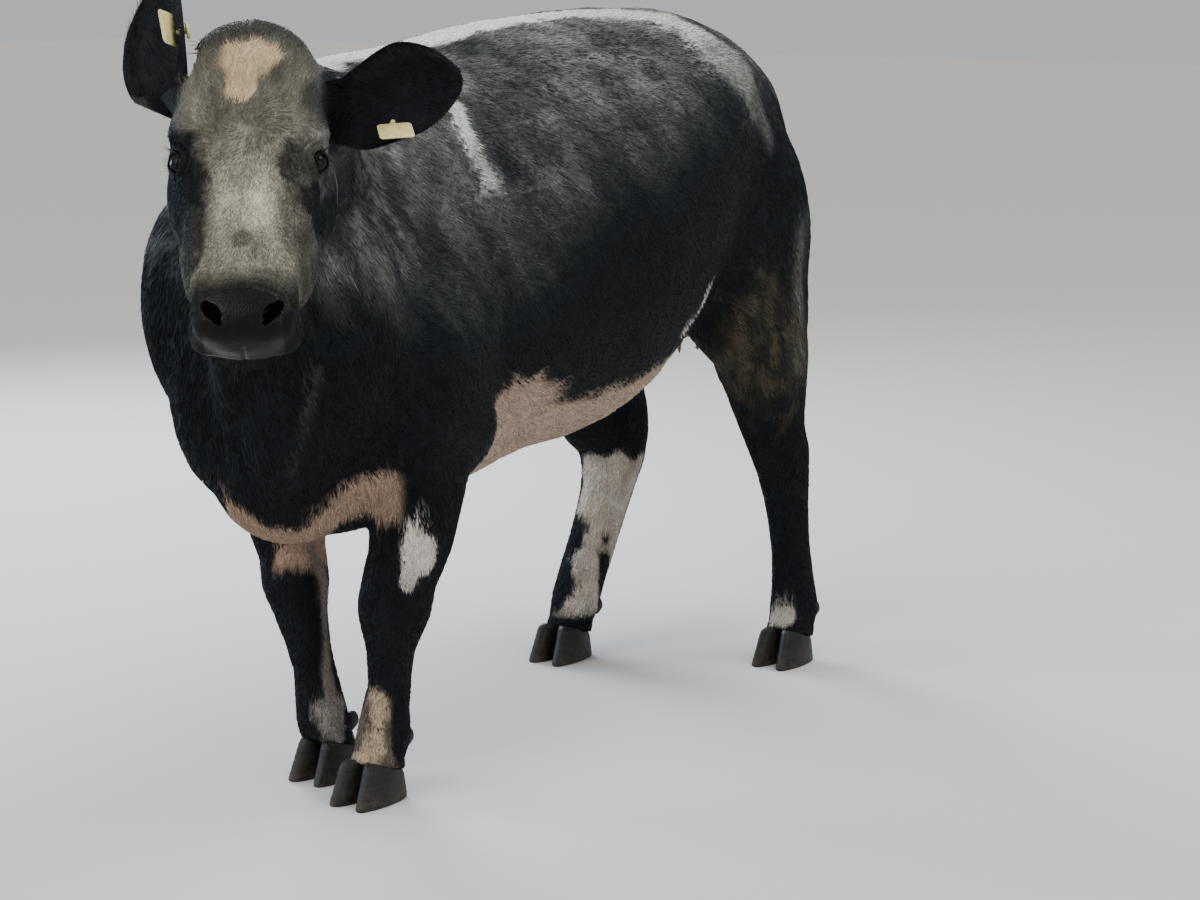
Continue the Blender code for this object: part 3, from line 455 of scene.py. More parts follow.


# Light and dark patches of the face, one of them partly a painted shadow under the left ear: tone,
# centre and radii in the head's numbers, raggedness
FACE_PATCHES_AND_EAR_SHADOW = [
    (0.44, (0.000, -0.030, 0.060), (0.110, 0.052, 0.100), 0.6),
    (0.10, (-0.118, 0.240, 0.010), (0.056, 0.085, 0.080), 0.45),
    (0.34, (-0.084, 0.345, 0.020), (0.026, 0.062, 0.050), 0.7),
    (0.34, (0.066, 0.214, 0.040), (0.019, 0.036, 0.040), 0.9),
    (0.40, (0.084, 0.222, 0.020), (0.026, 0.026, 0.040), 0.9),
    (0.22, (0.098, 0.262, -0.018), (0.034, 0.032, 0.060), 0.8),
    (0.30, (0.106, 0.204, 0.002), (0.023, 0.026, 0.031), 0.5),
    (0.70, (0.104, 0.169, 0.022), (0.018, 0.014, 0.026), 0.6),
    (0.54, (0.112, 0.236, -0.010), (0.018, 0.014, 0.028), 0.6),
    (0.26, (0.124, 0.225, -0.065), (0.030, 0.040, 0.050), 0.8),
    (0.44, (0.104, 0.110, 0.030), (0.024, 0.044, 0.040), 0.8),
    (0.56, (0.014, 0.150, 0.060), (0.020, 0.014, 0.030), 0.9),
    (0.58, (-0.003, 0.362, 0.036), (0.012, 0.014, 0.020), 0.8),
    (0.58, (0.016, 0.382, 0.036), (0.005, 0.016, 0.020), 0.8),
    # Dark at the left ear's root, stretched down the cheek below the ear as a painted shadow of the ear
    (0.08, (0.138, 0.078, -0.010), (0.036, 0.078, 0.085), 0.5),
    (0.10, (-0.126, 0.060, 0.010), (0.032, 0.060, 0.060), 0.5),
    (0.16, (0.000, 0.470, -0.100), (0.100, 0.085, 0.055), 0.4),
]
# Along the face, and the tone there
FACE_MIDDLE_TONES = [
    (-0.04, 0.42), (0.015, 0.47), (0.035, 0.60), (0.10, 0.62), (0.14, 0.61), (0.205, 0.65),
    (0.23, 0.77), (0.293, 0.86), (0.33, 0.82), (0.365, 0.68), (0.41, 0.73), (0.432, 0.52),
    (0.448, 0.28),
]
FACE_SIDE_TONES = [
    (-0.04, 0.38), (0.03, 0.52), (0.08, 0.55), (0.18, 0.55), (0.26, 0.50), (0.40, 0.52),
    (0.43, 0.40), (0.47, 0.22),
]


def face_tone(head):
    """Grey-beige roan: a pale blaze, grey sides, a dark muzzle and dark patches, one of them partly a
    painted shadow under the left ear.
    """
    left, along, out = head.T
    streaks = uneven(head, (0.008, 0.035, 0.02), 3)
    clouds = uneven(head, 0.030, 4)
    wander = along + 0.016 * uneven(head, 0.03, 2)
    wide = 0.028 + 0.047 * fall(along, 0.13, 0.23) + 0.025 * ramp(along, 0.33, 0.40)
    side = ramp(np.abs(left) + 0.020 * clouds, wide, wide + 0.045)
    tone = blend(stepped(wander, FACE_MIDDLE_TONES), stepped(wander, FACE_SIDE_TONES), side)
    tone += (0.12 * streaks + 0.14 * clouds) * fall(along, 0.42, 0.45)
    tone -= 0.30 * ramp(-out, 0.085, 0.17)
    for k, (light, centre, radii, ragged) in enumerate(FACE_PATCHES_AND_EAR_SHADOW):
        tone = blend(tone, light, blob(head, centre, radii, 0.28, ragged, 0.018, 20 + k))
    return tone


# Along the body, and the height of the belly patch's upper edge
BELLY_EDGE = [
    (0.10, 0.690), (0.16, 0.698), (0.22, 0.714), (0.26, 0.708), (0.31, 0.680), (0.38, 0.658),
    (0.43, 0.648), (0.51, 0.668), (0.59, 0.688), (0.70, 0.700),
]
# Along the body, and the height where the dark side turns grey
DARK_EDGE = [
    (-0.30, 0.90), (-0.05, 0.90), (0.17, 0.90), (0.36, 0.99), (0.46, 1.03), (0.67, 1.13),
    (0.80, 1.15), (1.00, 1.16), (1.20, 1.10),
]
# White and grey lines on the trunk, and a painted highlight along the dewlap's fold: tone, half width,
# softness, and the line in body points
TRUNK_STRIPES_AND_FOLD_HIGHLIGHT = [
    (1.00, 0.0600, 0.14, (0.03, -0.32, 1.24), (0.00, -0.10, 1.285), (-0.02, 0.15, 1.30),
     (-0.01, 0.45, 1.335), (0.02, 0.62, 1.345)),
    (0.94, 0.0560, 0.40, (0.02, 0.58, 1.345), (0.07, 0.70, 1.340), (0.13, 0.79, 1.322),
     (0.185, 0.815, 1.295)),
    (0.90, 0.0480, 0.50, (0.175, 0.813, 1.300), (0.228, 0.825, 1.258)),
    (0.76, 0.0400, 0.70, (0.228, 0.830, 1.258), (0.260, 0.865, 1.205), (0.262, 0.905, 1.170)),
    (0.55, 0.0260, 0.60, (0.262, 0.905, 1.170), (0.260, 0.960, 1.100)),
    (1.00, 0.0260, 0.20, (0.160, 0.020, 1.240), (0.180, 0.050, 1.205), (0.194, 0.064, 1.168)),
    (1.00, 0.0185, 0.22, (0.190, 0.060, 1.176), (0.208, 0.083, 1.124)),
    (0.90, 0.0115, 0.35, (0.206, 0.081, 1.130), (0.224, 0.102, 1.070)),
    (0.55, 0.0360, 0.80, (0.060, 1.190, 1.200), (0.130, 1.160, 1.080), (0.268, 1.050, 0.900),
     (0.276, 1.046, 0.800), (0.284, 1.036, 0.650)),
    # A painted highlight: a thin grey line of light along the ridge of the dewlap's fold
    (0.40, 0.0080, 0.90, (0.181, -0.300, 0.800), (0.146, -0.292, 0.711), (0.120, -0.295, 0.632),
     (0.112, -0.290, 0.600)),
    (0.93, 0.0120, 0.30, (0.246, 0.680, 0.748), (0.260, 0.722, 0.790), (0.274, 0.724, 0.830)),
]
# White patches on the legs: tone, centre, radii, raggedness
LEG_WHITES = [
    (1.00, (0.208, -0.078, 0.466), (0.026, 0.034, 0.052), 0.7),
    (0.95, (0.190, -0.090, 0.425), (0.013, 0.024, 0.030), 0.8),
    (0.76, (-0.044, -0.014, 0.122), (0.032, 0.032, 0.046), 0.7),
    (0.92, (0.199, 1.126, 0.100), (0.034, 0.028, 0.026), 0.9),
]
# Middle of the right hind leg by height, and the black patches in its white: centre, radii
HIND_MIDDLE = [(0.06, 0.93), (0.12, 0.955), (0.20, 0.99), (0.29, 1.035), (0.36, 1.07), (0.47, 1.075)]
HIND_BLACKS = [
    ((-0.220, 0.965, 0.245), (0.036, 0.060, 0.044)),
    ((-0.226, 0.920, 0.160), (0.040, 0.044, 0.070)),
    ((-0.148, 1.004, 0.150), (0.034, 0.024, 0.080)),
]
# Grey line down the inner side of the right foreleg
INNER_LINE = [
    (-0.082, -0.010, 0.420), (-0.066, 0.010, 0.325), (-0.058, 0.000, 0.238), (-0.050, -0.008, 0.170)
]


def roan_tone(body):
    """The trunk and legs: mottled grey roan above, blue-black below."""
    x, y, z = body.T
    down = columns(x, 0.82 * y + 0.57 * z, 0.82 * z - 0.57 * y)
    fine = uneven(down, (0.050, 0.022, 0.120), 5) + 0.6 * uneven(down, (0.025, 0.010, 0.055), 6)
    clouds = uneven(down, (0.14, 0.070, 0.150), 7)
    edge = stepped(y, DARK_EDGE) + 0.10 * uneven(body, 0.22, 8) + 0.10 * clouds
    upper = ramp(z, edge - 0.12, edge + 0.12)
    tone = 0.12 + 0.40 * upper + (0.06 + 0.27 * upper) * fine + 0.20 * upper * clouds
    neck = ramp(-y, -0.02, 0.14) * ramp(z, 0.84, 1.00)
    tone += neck * (0.02 + 0.34 * uneven(body, (0.014, 0.014, 0.16), 12))
    far_side = ramp(-x, -0.02, 0.10) * ramp(-y, -0.05, 0.15)
    return tone - 0.20 * far_side * ramp(z, 0.6, 0.9)


def hind_white(body):
    """The white front and inner side of the right hind leg, with its black patches."""
    x, y, z = body.T
    facing = (x + 0.200) * 0.80 - (y - stepped(z, HIND_MIDDLE)) * 0.60
    ragged = 0.012 * uneven(body, 0.03, 31) + 0.010 * uneven(body, 0.011, 32)
    mask = ramp(facing + ragged, -0.010, 0.004)
    top = 0.405 + 0.10 * (facing - 0.02) + 0.05 * uneven(body, 0.04, 33)
    mask *= fall(z, top, top + 0.012)
    mask *= ramp(z, 0.086, 0.098)
    for k, (centre, radii) in enumerate(HIND_BLACKS):
        mask *= 1 - blob(body, centre, radii, 0.2, 0.7, 0.02, 34 + k)
    return mask * (x < 0) * (y > 0.7)


def cream_patch(head):
    """The cream patch on the brow and its lower tip."""
    brow = blob(head, (0.002, 0.052, 0.080), (0.044, 0.028, 0.060), 0.20, 0.4, 0.02, 70)
    tip = blob(head, (-0.011, 0.088, 0.070), (0.023, 0.034, 0.060), 0.22, 0.5, 0.02, 71)
    return np.maximum(brow, tip)


def belly_patch(body, legs):
    """The cream belly, cut off at the hind legs."""
    x, y, z = body.T
    edge = stepped(y, BELLY_EDGE) + 0.030 * uneven(body, 0.05, 73) + 0.016 * uneven(body, 0.015, 74)
    belly = fall(z, edge - 0.006, edge + 0.006) * ramp(y, 0.10, 0.125) * fall(y, 0.76, 0.80)
    belly *= 1 - legs * ramp(np.abs(x), 0.10, 0.14) * ramp(y, 0.78, 0.80)
    return belly * (0.9 + 0.1 * noise(body, 0.03, 75))


def brisket_patch(body):
    """The tan wedge under the brisket, above the dark forelegs."""
    x, y, z = body.T
    slope = np.where(x > 0.066, 1.13, 0.78)
    wedge = 0.508 + slope * np.abs(x - 0.066) + 0.022 * uneven(body, 0.035, 76)
    wedge = np.minimum(wedge, 0.598 + 0.02 * uneven(body, 0.03, 77))
    brisket = fall(z, wedge - 0.006, wedge + 0.008) * fall(y, 0.06, 0.12) * ramp(z, 0.36, 0.40)
    brisket *= fall(x, 0.180, 0.200)
    leg_line = np.where((x > 0.03) & (y > -0.135), 0.520, 0.385) + 0.03 * uneven(body, 0.03, 82)
    brisket *= ramp(z, leg_line - 0.008, leg_line + 0.008)
    far_edge = x + 0.6 * (0.55 - z) + 0.02 * uneven(body, 0.03, 86)
    return 0.95 * brisket * ramp(far_edge, -0.048, -0.036)


def pastern_patch(body):
    """The worn tan patch over the left fore hoof."""
    patch = blob(body, (0.092, -0.068, 0.122), (0.048, 0.038, 0.070), 0.2, 0.8, 0.024, 83)
    return patch * (0.25 + 0.75 * ramp(noise(body, 0.022, 84), 0.34, 0.50))


def mud_patch(body):
    """Dried mud on the left thigh."""
    muddy = blob(body, (0.265, 0.950, 0.690), (0.090, 0.130, 0.130), 0.4, 0.9, 0.035, 79)
    return muddy * (0.25 + 0.75 * ramp(noise(body, (0.02, 0.02, 0.035), 80), 0.40, 0.62))


def coat_colour(points):
    """The markings, with a painted highlight on the dewlap and a painted shadow under the left ear: a
    colour for any point of the hide, the same on skin and coat.
    """
    body = points - SHIFT
    head = head_places(points)
    on_face = face_weight(points, -0.10, -0.04, (-0.24, -0.18), (0.20, 0.26))
    legs = fall(body[:, 2], 0.48, 0.66) * (1 - on_face)
    tone = roan_tone(body)
    for k, (light, width, soft, *line) in enumerate(TRUNK_STRIPES_AND_FOLD_HIGHLIGHT):
        tone = blend(tone, light, stripe(body, line, width, soft, 0.7, 0.03, 40 + k))
    tone = blend(tone, 0.07 + 0.12 * uneven(body, (0.02, 0.02, 0.06), 14), legs)
    spots = np.zeros(len(points))
    for k, (light, centre, radii, ragged) in enumerate(LEG_WHITES):
        mask = blob(body, centre, radii, 0.14, ragged, 0.024, 50 + k)
        spots = np.maximum(spots, mask)
        tone = blend(tone, light, mask)
    hind = hind_white(body)
    tone = blend(tone, 0.90 + 0.12 * uneven(body, 0.02, 60), hind)
    tone = blend(tone, face_tone(head), on_face)
    colour = tone_colour(np.clip(tone, 0, 1))
    warm = on_face * 0.30 * fall(np.abs(head[:, 0]), 0.08, 0.12)
    colour[:, 0] *= 1 + 0.28 * warm
    colour[:, 2] *= 1 - 0.55 * warm
    colour = blend(colour, CREAM, cream_patch(head) * on_face)
    colour = blend(colour, BELLY_TAN, belly_patch(body, legs))
    colour = blend(colour, TAN, brisket_patch(body))
    colour = blend(colour, INNER_GREY, 0.9 * stripe(body, INNER_LINE, 0.013, 0.4, 0.6, 0.03, 78))
    colour = blend(colour, PASTERN_TAN, pastern_patch(body))
    warm = np.maximum(hind, 0.7 * spots) * (0.5 + 0.5 * noise(body, 0.03, 85))
    colour = colour * (1 - warm[:, None] * np.array((0.28, 0.40, 0.50)))
    colour = blend(colour, MUD, mud_patch(body))
    udder = blob(body, (0, 1.030, 0.705), (0.085, 0.095, 0.075), 0.3, 0.3, 0.03, 81)
    colour = blend(colour, UDDER_PINK, udder * 0.9)
    colour = blend(colour, NOSE_BLACK, nose_mask(head))
    return np.clip(colour, 0.004, 0.9)


def nose_top(left):
    """How far down the face the bare pad starts: lower beyond the wings of the nostrils."""
    return 0.444 + 1.3 * np.abs(left) ** 1.6


def nose_mask(head):
    """1 on the bare wet nose pad and the lips' edge."""
    left, along, out = head.T
    lips = ramp(along, 0.470, 0.490) * ramp(out, -0.085, -0.075)
    return np.clip(nose_pad(head) + lips * 0.8, 0, 1) * (along < 0.60) * (np.abs(left) < 0.1)


def nose_pad(head):
    """1 on the pad alone, which is wet."""
    left, along, out = head.T
    top = nose_top(left)
    pad = ramp(along, top, top + 0.008) * ramp(out, -0.062, -0.056)
    return pad * fall(np.abs(left), 0.054, 0.062) * (along < 0.60)


def bare_mask(points):
    """1 where no tufts grow: nose pad, lips, lid edges and udder."""
    bare = nose_mask(head_places(points))
    for side in (1, -1):
        bare = np.maximum(bare, fall(eye_distance(points, side), 0.0240, 0.0275))
    udder = (points - SHIFT - (0, 1.03, 0.70)) / (0.08, 0.09, 0.07)
    return np.maximum(bare, fall(np.linalg.norm(udder, axis=1), 0.9, 1.05))


# The lie of the coat

WHORL = np.array((0.0, 0.165, 0.05))


def haired_face(points):
    """1 where the hair lies as it does on a face."""
    return face_weight(points, -0.09, -0.03, (-0.22, -0.16), (0.22, 0.27))


def face_lie(points):
    """The hair of the face: a whorl between the eyes, upward above it and downward below it."""
    head = head_places(points)
    left, along, _ = head.T
    away = head - WHORL
    curl = columns(-away[:, 1], away[:, 0], 0)
    around = unit(unit(away) + 0.5 * unit(curl))
    down = columns(0.35 * np.sign(left) * ramp(np.abs(left), 0.02, 0.10), 0.9, -0.35)
    up = columns(0.25 * np.sign(left), -0.9, -0.3)
    flow = unit(blend(down, up, fall(along, 0.13, 0.18)))
    flow = blend(flow, around, fall(np.linalg.norm(away, axis=1), 0.04, 0.10))
    return flow[:, :1] * FACE_LEFT + flow[:, 1:2] * FACE_ALONG + flow[:, 2:] * FACE_OUT


def coat_lie(points, normals):
    """Which way the hair points, along the surface."""
    x, y, z = (points - SHIFT).T
    lie = columns(0.0 * x, 0.85, -0.50)
    lie = blend(lie, columns(0.15 * np.sign(x), 0.45, -0.85), ramp(-y, 0.05, 0.22))
    lie = blend(lie, (0, 0.35, -1.0), ramp(y, 0.85, 1.05) * fall(z, 1.15, 1.25))
    lie = blend(lie, (0, 0.12, -1.0), fall(z, 0.48, 0.68))
    lie = blend(lie, (0, 1.0, 0.0), fall(normals[:, 2], -0.95, -0.6) * ramp(z, 0.44, 0.5))
    lie = blend(lie, (0, 0.1, -1.0), ramp(y, 1.19, 1.22))
    lie = blend(unit(lie), unit(face_lie(points)), haired_face(points))
    return along_surface(lie, normals)


def hair_length(points):
    """Length of the tufts: short on face and feet, longer on poll, neck and belly."""
    along = head_numbers(points)[1]
    _, y, z = (points - SHIFT).T
    length = TUFT_LENGTH + 0.006 * ramp(-y, 0.0, 0.2) * ramp(z, 0.6, 0.8)
    length += 0.006 * fall(z, 0.55, 0.62) * ramp(z, 0.48, 0.52)
    length = blend(length, LEG_TUFT_LENGTH, fall(z, 0.34, 0.60))
    on_face = FACE_TUFT_LENGTH - 0.0075 * ramp(along, 0.10, 0.30) + 0.007 * fall(along, 0.00, 0.05)
    for side in (1, -1):
        on_face *= 0.55 + 0.45 * ramp(eye_distance(points, side), 0.026, 0.055)
    return blend(length, on_face, haired_face(points))


# Skin


def flesh_copy(name):
    """A merged copy of a CAD node, grown by a hair so that the thin gaps between nodes close."""
    bm = bmesh.new()
    bm.from_mesh(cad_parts[name].data)
    bmesh.ops.remove_doubles(bm, verts=bm.verts, dist=2e-5)
    bm.normal_update()
    grown = [vert.co + vert.normal * GROW for vert in bm.verts]
    for vert, place in zip(bm.verts, grown):
        vert.co = place
    return bmesh_object(name + "_copy", bm)


def base_skin():
    """The body as one closed, even surface, finer on the head."""
    copies = [flesh_copy(name) for name in FLESH]
    for side in (1, -1):
        copies.append(ball("socket_fill", eye_centre(side), (EYE_RADIUS + 0.0045,) * 3, 4))
    skin = joined("skin", copies)
    modified(skin, "REMESH", mode="VOXEL", voxel_size=VOXEL, adaptivity=0)
    keep_largest(skin)
    points = points_of(skin)
    on_face = face_weight(points)
    hanging = ramp(points[:, 1] - SHIFT[1], 1.20, 1.24)
    smoothed(skin, 16, 1 - 0.75 * on_face - 0.2 * hanging)
    smoothed(skin, 5)
    points = points_of(skin)
    depth = GROW + SKIN_DEPTH * (1 - 0.45 * face_weight(points))
    set_points(skin, points - normals_of(skin) * depth[:, None])
    thin_body(skin)
    refine(skin, face_zone)
    refine(skin, detail_zone)
    smoothed(skin, 4, face_weight(points_of(skin)))
    return skin


def thin_body(skin):
    """Fewer triangles off the face, whose points are locked."""
    group = skin.vertex_groups.new(name="face")
    weight = face_weight(points_of(skin), -0.06, -0.03)
    for level in (0.0, 1.0):
        group.add(np.flatnonzero((weight > 0.5) == bool(level)).tolist(), level, "REPLACE")
    face_share = float((weight > 0.5).mean())
    triangles = 2 * len(skin.data.polygons)
    target = BODY_TRIANGLES + face_share * triangles
    modified(
        skin,
        "DECIMATE",
        ratio=target / triangles,
        vertex_group="face",
        invert_vertex_group=True,
        vertex_group_factor=1e-6,
    )
    skin.vertex_groups.clear()


def face_zone(points):
    """The face without the underside of the jaw."""
    return (face_weight(points, 0.0, 0.01) > 0.5) & (head_numbers(points)[2] > -0.12)


def detail_zone(points):
    """Eyes, nose and mouth, where the mesh is finest."""
    left, along, out = head_numbers(points)
    eyes = np.zeros(len(points), bool)
    for side in (1, -1):
        eyes |= eye_distance(points, side) < 0.038
    muzzle = (along > 0.45) & (np.abs(left) < 0.12) & (out > -0.09) & (out < 0.05)
    return eyes | muzzle


def refine(skin, chosen):
    """Halves the edges whose two ends are both chosen."""
    bm = bmesh.new()
    bm.from_mesh(skin.data)
    inside = chosen(points_of(skin))
    edges = [edge for edge in bm.edges if all(inside[vert.index] for vert in edge.verts)]
    bmesh.ops.subdivide_edges(bm, edges=edges, cuts=1, use_grid_fill=True)
    bmesh.ops.triangulate(bm, faces=[face for face in bm.faces if len(face.verts) > 4])
    bm.to_mesh(skin.data)
    bm.free()


# Folds of the face. A side stroke is drawn along and out of the face, a front stroke is drawn
# left and along. Each has points, width, and depth into the skin in millimetres.


SIDE_STROKES = [
    ([(0.160, 0.034), (0.190, 0.044), (0.218, 0.036)], 0.0100, -2.2),
    ([(0.232, -0.020), (0.290, -0.030), (0.360, -0.036)], 0.0110, -2.6),
    ([(0.245, 0.008), (0.285, -0.040), (0.300, -0.085), (0.296, -0.125)], 0.0028, -1.3),
    ([(0.235, -0.055), (0.262, -0.090), (0.262, -0.135)], 0.0120, 3.0),
    ([(0.330, -0.060), (0.350, -0.078), (0.352, -0.100)], 0.0060, 1.6),
    ([(0.360, -0.070), (0.366, -0.084), (0.362, -0.098)], 0.0040, 1.5),
    ([(0.383, -0.062), (0.400, -0.070), (0.430, -0.064), (0.455, -0.058)], 0.0050, 1.2),
    ([(0.470, 0.012), (0.460, -0.010), (0.466, -0.034)], 0.0045, 1.6),
]
FRONT_STROKES = [
    ([(-0.030, 0.436), (0.0, 0.430), (0.030, 0.436)], 0.0022, 0.9),
    ([(-0.036, 0.424), (0.0, 0.416), (0.036, 0.424)], 0.0024, 0.8),
    ([(-0.034, 0.408), (0.0, 0.401), (0.034, 0.408)], 0.0026, 0.6),
    ([(0.0, 0.100), (0.0, 0.205)], 0.0140, 2.0),
    ([(0.058, 0.120), (0.070, 0.160), (0.072, 0.200)], 0.0070, 1.2),
    ([(-0.058, 0.120), (-0.070, 0.160), (-0.072, 0.200)], 0.0070, 1.2),
]
MOUTH_SHEET = [
    # along the face, and how far out the mouth's line lies there
    (0.365, -0.083), (0.405, -0.082), (0.450, -0.078), (0.488, -0.072), (0.514, -0.067), (0.540, -0.063),
]

# Folds of the lids, in the eye's own plane: radius, first and last degree from the muzzle
# end over the top, width, depth in millimetres
LID_FOLDS = [
    (0.0208, 10, 170, 0.0018, -1.3),
    (0.0248, 12, 168, 0.0020, 1.9),
    (0.0285, 20, 160, 0.0026, -1.2),
    (0.0325, 25, 150, 0.0028, 1.5),
    (0.0205, 190, 345, 0.0018, -1.1),
    (0.0240, 195, 340, 0.0020, 1.4),
    (0.0280, 205, 330, 0.0026, -0.8),
    (0.0315, 210, 325, 0.0030, 1.0),
]
LID_STRETCH = 1.20
LID_HALF_LONG = 0.0200
LID_HALF_HIGH = 0.0150
LID_RAISE = 0.0012
TEAR_LINE = [(0.021, -0.001), (0.030, -0.005), (0.037, -0.011)]


def stroke_depth(places, strokes):
    """How deep the strokes go at each place, in metres."""
    return sum(deep * 1e-3 * hump(line_distance(places, line), width) for line, width, deep in strokes)


def lid_relief(points):
    """The lids' rims and the creases round each eye, and the tear corner."""
    depth = np.zeros(len(points))
    for side in (1, -1):
        out, along, up = eye_axes(side)
        away = points - eye_centre(side)
        level, rise, reach = away @ along, away @ up, away @ out
        here = ramp(reach, -0.004, 0.004) * fall(eye_distance(points, side), 0.042, 0.052)
        ring = np.hypot(level / LID_STRETCH, rise)
        turn = np.degrees(np.arctan2(rise, level / LID_STRETCH)) % 360
        for radius, low, high, width, deep in LID_FOLDS:
            span = ramp(turn, low - 14, low + 14) * fall(turn, high - 14, high + 14)
            depth += here * span * deep * 1e-3 * hump(ring - radius, width)
        tear = line_distance(columns(level, rise), TEAR_LINE)
        depth += here * 0.0022 * hump(tear, 0.0028)
    return depth


def face_relief(points):
    """How far each point of the face goes in, from the strokes and the mouth."""
    left, along, out = head_numbers(points)
    on_side = ramp(np.abs(left), 0.035, 0.060)
    on_front = ramp(out, -0.035, -0.015)
    depth = lid_relief(points)
    depth += on_side * stroke_depth(columns(along, out), SIDE_STROKES)
    depth += on_front * stroke_depth(columns(left, along), FRONT_STROKES)
    above = out - stepped(along, MOUTH_SHEET)
    lips = 0.0048 * hump(above, 0.0030) - 0.0022 * hump(above - 0.010, 0.007)
    lips -= 0.0016 * hump(above + 0.010, 0.006)
    depth += lips * ramp(along, 0.368, 0.392)
    centre_line = hump(left, 0.0028) * ramp(along, 0.50, 0.51) * ramp(out, -0.066, -0.060)
    depth += 0.0022 * centre_line * fall(out, -0.030, -0.015)
    pad_edge = hump(along - nose_top(left), 0.0030)
    return depth + 0.0012 * pad_edge * on_front * (np.abs(left) < 0.055)


# Folds of the trunk and legs: line in body points, width, depth in millimetres
BODY_STROKES = [
    ([(0.190, 0.825, 1.262), (0.238, 0.880, 1.184), (0.262, 0.925, 1.069),
      (0.275, 0.950, 0.942), (0.262, 0.935, 0.840)], 0.016, 5.0),
    ([(-0.190, 0.825, 1.262), (-0.238, 0.880, 1.184), (-0.262, 0.925, 1.069),
      (-0.275, 0.950, 0.942)], 0.016, 4.0),
    ([(0.150, 0.560, 0.610), (0.215, 0.720, 0.690), (0.236, 0.830, 0.780)], 0.014, -5.0),
    ([(0.250, 0.860, 0.800), (0.230, 0.830, 0.740), (0.190, 0.820, 0.690)], 0.020, 5.0),
    ([(0.215, 0.060, 1.130), (0.235, 0.115, 0.960), (0.240, 0.130, 0.800),
      (0.220, 0.105, 0.690)], 0.022, 4.5),
    ([(-0.215, 0.060, 1.130), (-0.235, 0.115, 0.960), (-0.240, 0.130, 0.800)], 0.022, 4.5),
    ([(0.150, -0.215, 1.130), (0.185, -0.255, 0.980), (0.195, -0.275, 0.830)], 0.020, 5.0),
    ([(0.205, -0.120, 1.100), (0.226, -0.150, 0.940), (0.222, -0.170, 0.800)], 0.024, 3.0),
    ([(0.095, -0.330, 0.900), (0.080, -0.320, 0.760), (0.040, -0.290, 0.640)], 0.014, 4.0),
    ([(0.020, -0.345, 0.860), (0.020, -0.335, 0.720), (0.010, -0.300, 0.600)], 0.012, -6.0),
    ([(0.175, -0.130, 0.690), (0.205, -0.110, 0.610), (0.205, -0.090, 0.560)], 0.016, 3.5),
    ([(0.0, 0.10, 1.31), (0.0, 0.60, 1.36), (0.0, 1.05, 1.32)], 0.022, 2.5),
    ([(0.250, 1.085, 0.560), (0.245, 1.100, 0.500), (0.240, 1.130, 0.440)], 0.009, 3.0),
    ([(-0.250, 1.085, 0.540), (-0.245, 1.100, 0.480), (-0.240, 1.120, 0.420)], 0.009, 3.0),
]


def body_relief(points):
    """How far each point of trunk and legs goes in: folds, wrinkles of the throat, unevenness."""
    body = points - SHIFT
    x, y, z = body.T
    wrinkle = np.sin((0.8 * y + 0.6 * np.abs(x)) * 210 + 6 * noise(body, 0.08, 90))
    throat = ramp(-y, 0.14, 0.20) * fall(-y, 0.30, 0.36) * ramp(z, 0.78, 0.90) * fall(z, 1.12, 1.2)
    depth = stroke_depth(body, BODY_STROKES) + 0.0011 * throat * wrinkle
    depth += 0.004 * uneven(body, 0.10, 91) * ramp(z, 0.5, 0.7)
    return depth + 0.0020 * uneven(body, 0.035, 92)


def relief(skin):
    points = points_of(skin)
    depth = blend(body_relief(points), face_relief(points), face_weight(points, 0.02, 0.06))
    set_points(skin, points - normals_of(skin) * depth[:, None])


def eye_axes(side):
    """Out of the eye, along the face, and up."""
    out = unit(FACE_LEFT * side * 0.73 + FACE_ALONG * 0.19 + FACE_OUT * 0.655)
    along = unit(FACE_ALONG - out * (FACE_ALONG @ out))
    up = np.cross(out, along)
    return out, along, up if up @ FACE_OUT > 0 else -up


def lid_opening(side):
    """The almond between the lids, as a flared prism."""
    out, along, up = eye_axes(side)
    outline = []
    for turn in turns(48):
        high = LID_HALF_HIGH * (1.12 if math.sin(turn) > 0 else 0.80)
        rise = signed_power(math.sin(turn), 1.25) * high + LID_RAISE
        outline.append(along * LID_HALF_LONG * math.cos(turn) + up * rise)
    rings = []
    for reach, grow in ((0.006, 0.95), (0.0205, 0.98), (0.060, 1.75)):
        rings.append([eye_centre(side) + place * grow + out * reach for place in outline])
    return lofted("lid_opening", rings, "face")


def nostril_hollow(side):
    """A comma-shaped hollow that opens outward and forward."""
    out = unit(FACE_ALONG * 0.55 + FACE_LEFT * 0.45 * side + FACE_OUT * 0.70)
    high = unit(FACE_LEFT * 0.62 * side - FACE_ALONG * 0.78)
    high = unit(high - out * (high @ out))
    axes = (np.cross(high, out), high, out)
    spots = [
        # left, along and out of each hollow, then its radii across, along and into the nose
        (0.041, 0.483, 0.018, 0.0105, 0.0170, 0.0230),
        (0.049, 0.474, 0.018, 0.0080, 0.0110, 0.0190),
        (0.034, 0.494, 0.012, 0.0060, 0.0110, 0.0150),
    ]
    hollow = None
    for left, along, rise, *radii in spots:
        piece = ball("hollow", on_head(side * left, along, rise), radii, 4, axes)
        hollow = piece if hollow is None else cut(hollow, piece, "UNION")
    return hollow


def open_face(skin):
    """Cuts the lids open and hollows the nostrils."""
    for side in (1, -1):
        cut(skin, lid_opening(side))
        cut(skin, ball("socket", eye_centre(side), (EYE_RADIUS + 0.0004,) * 3, 5))
        cut(skin, nostril_hollow(side))


# Ears

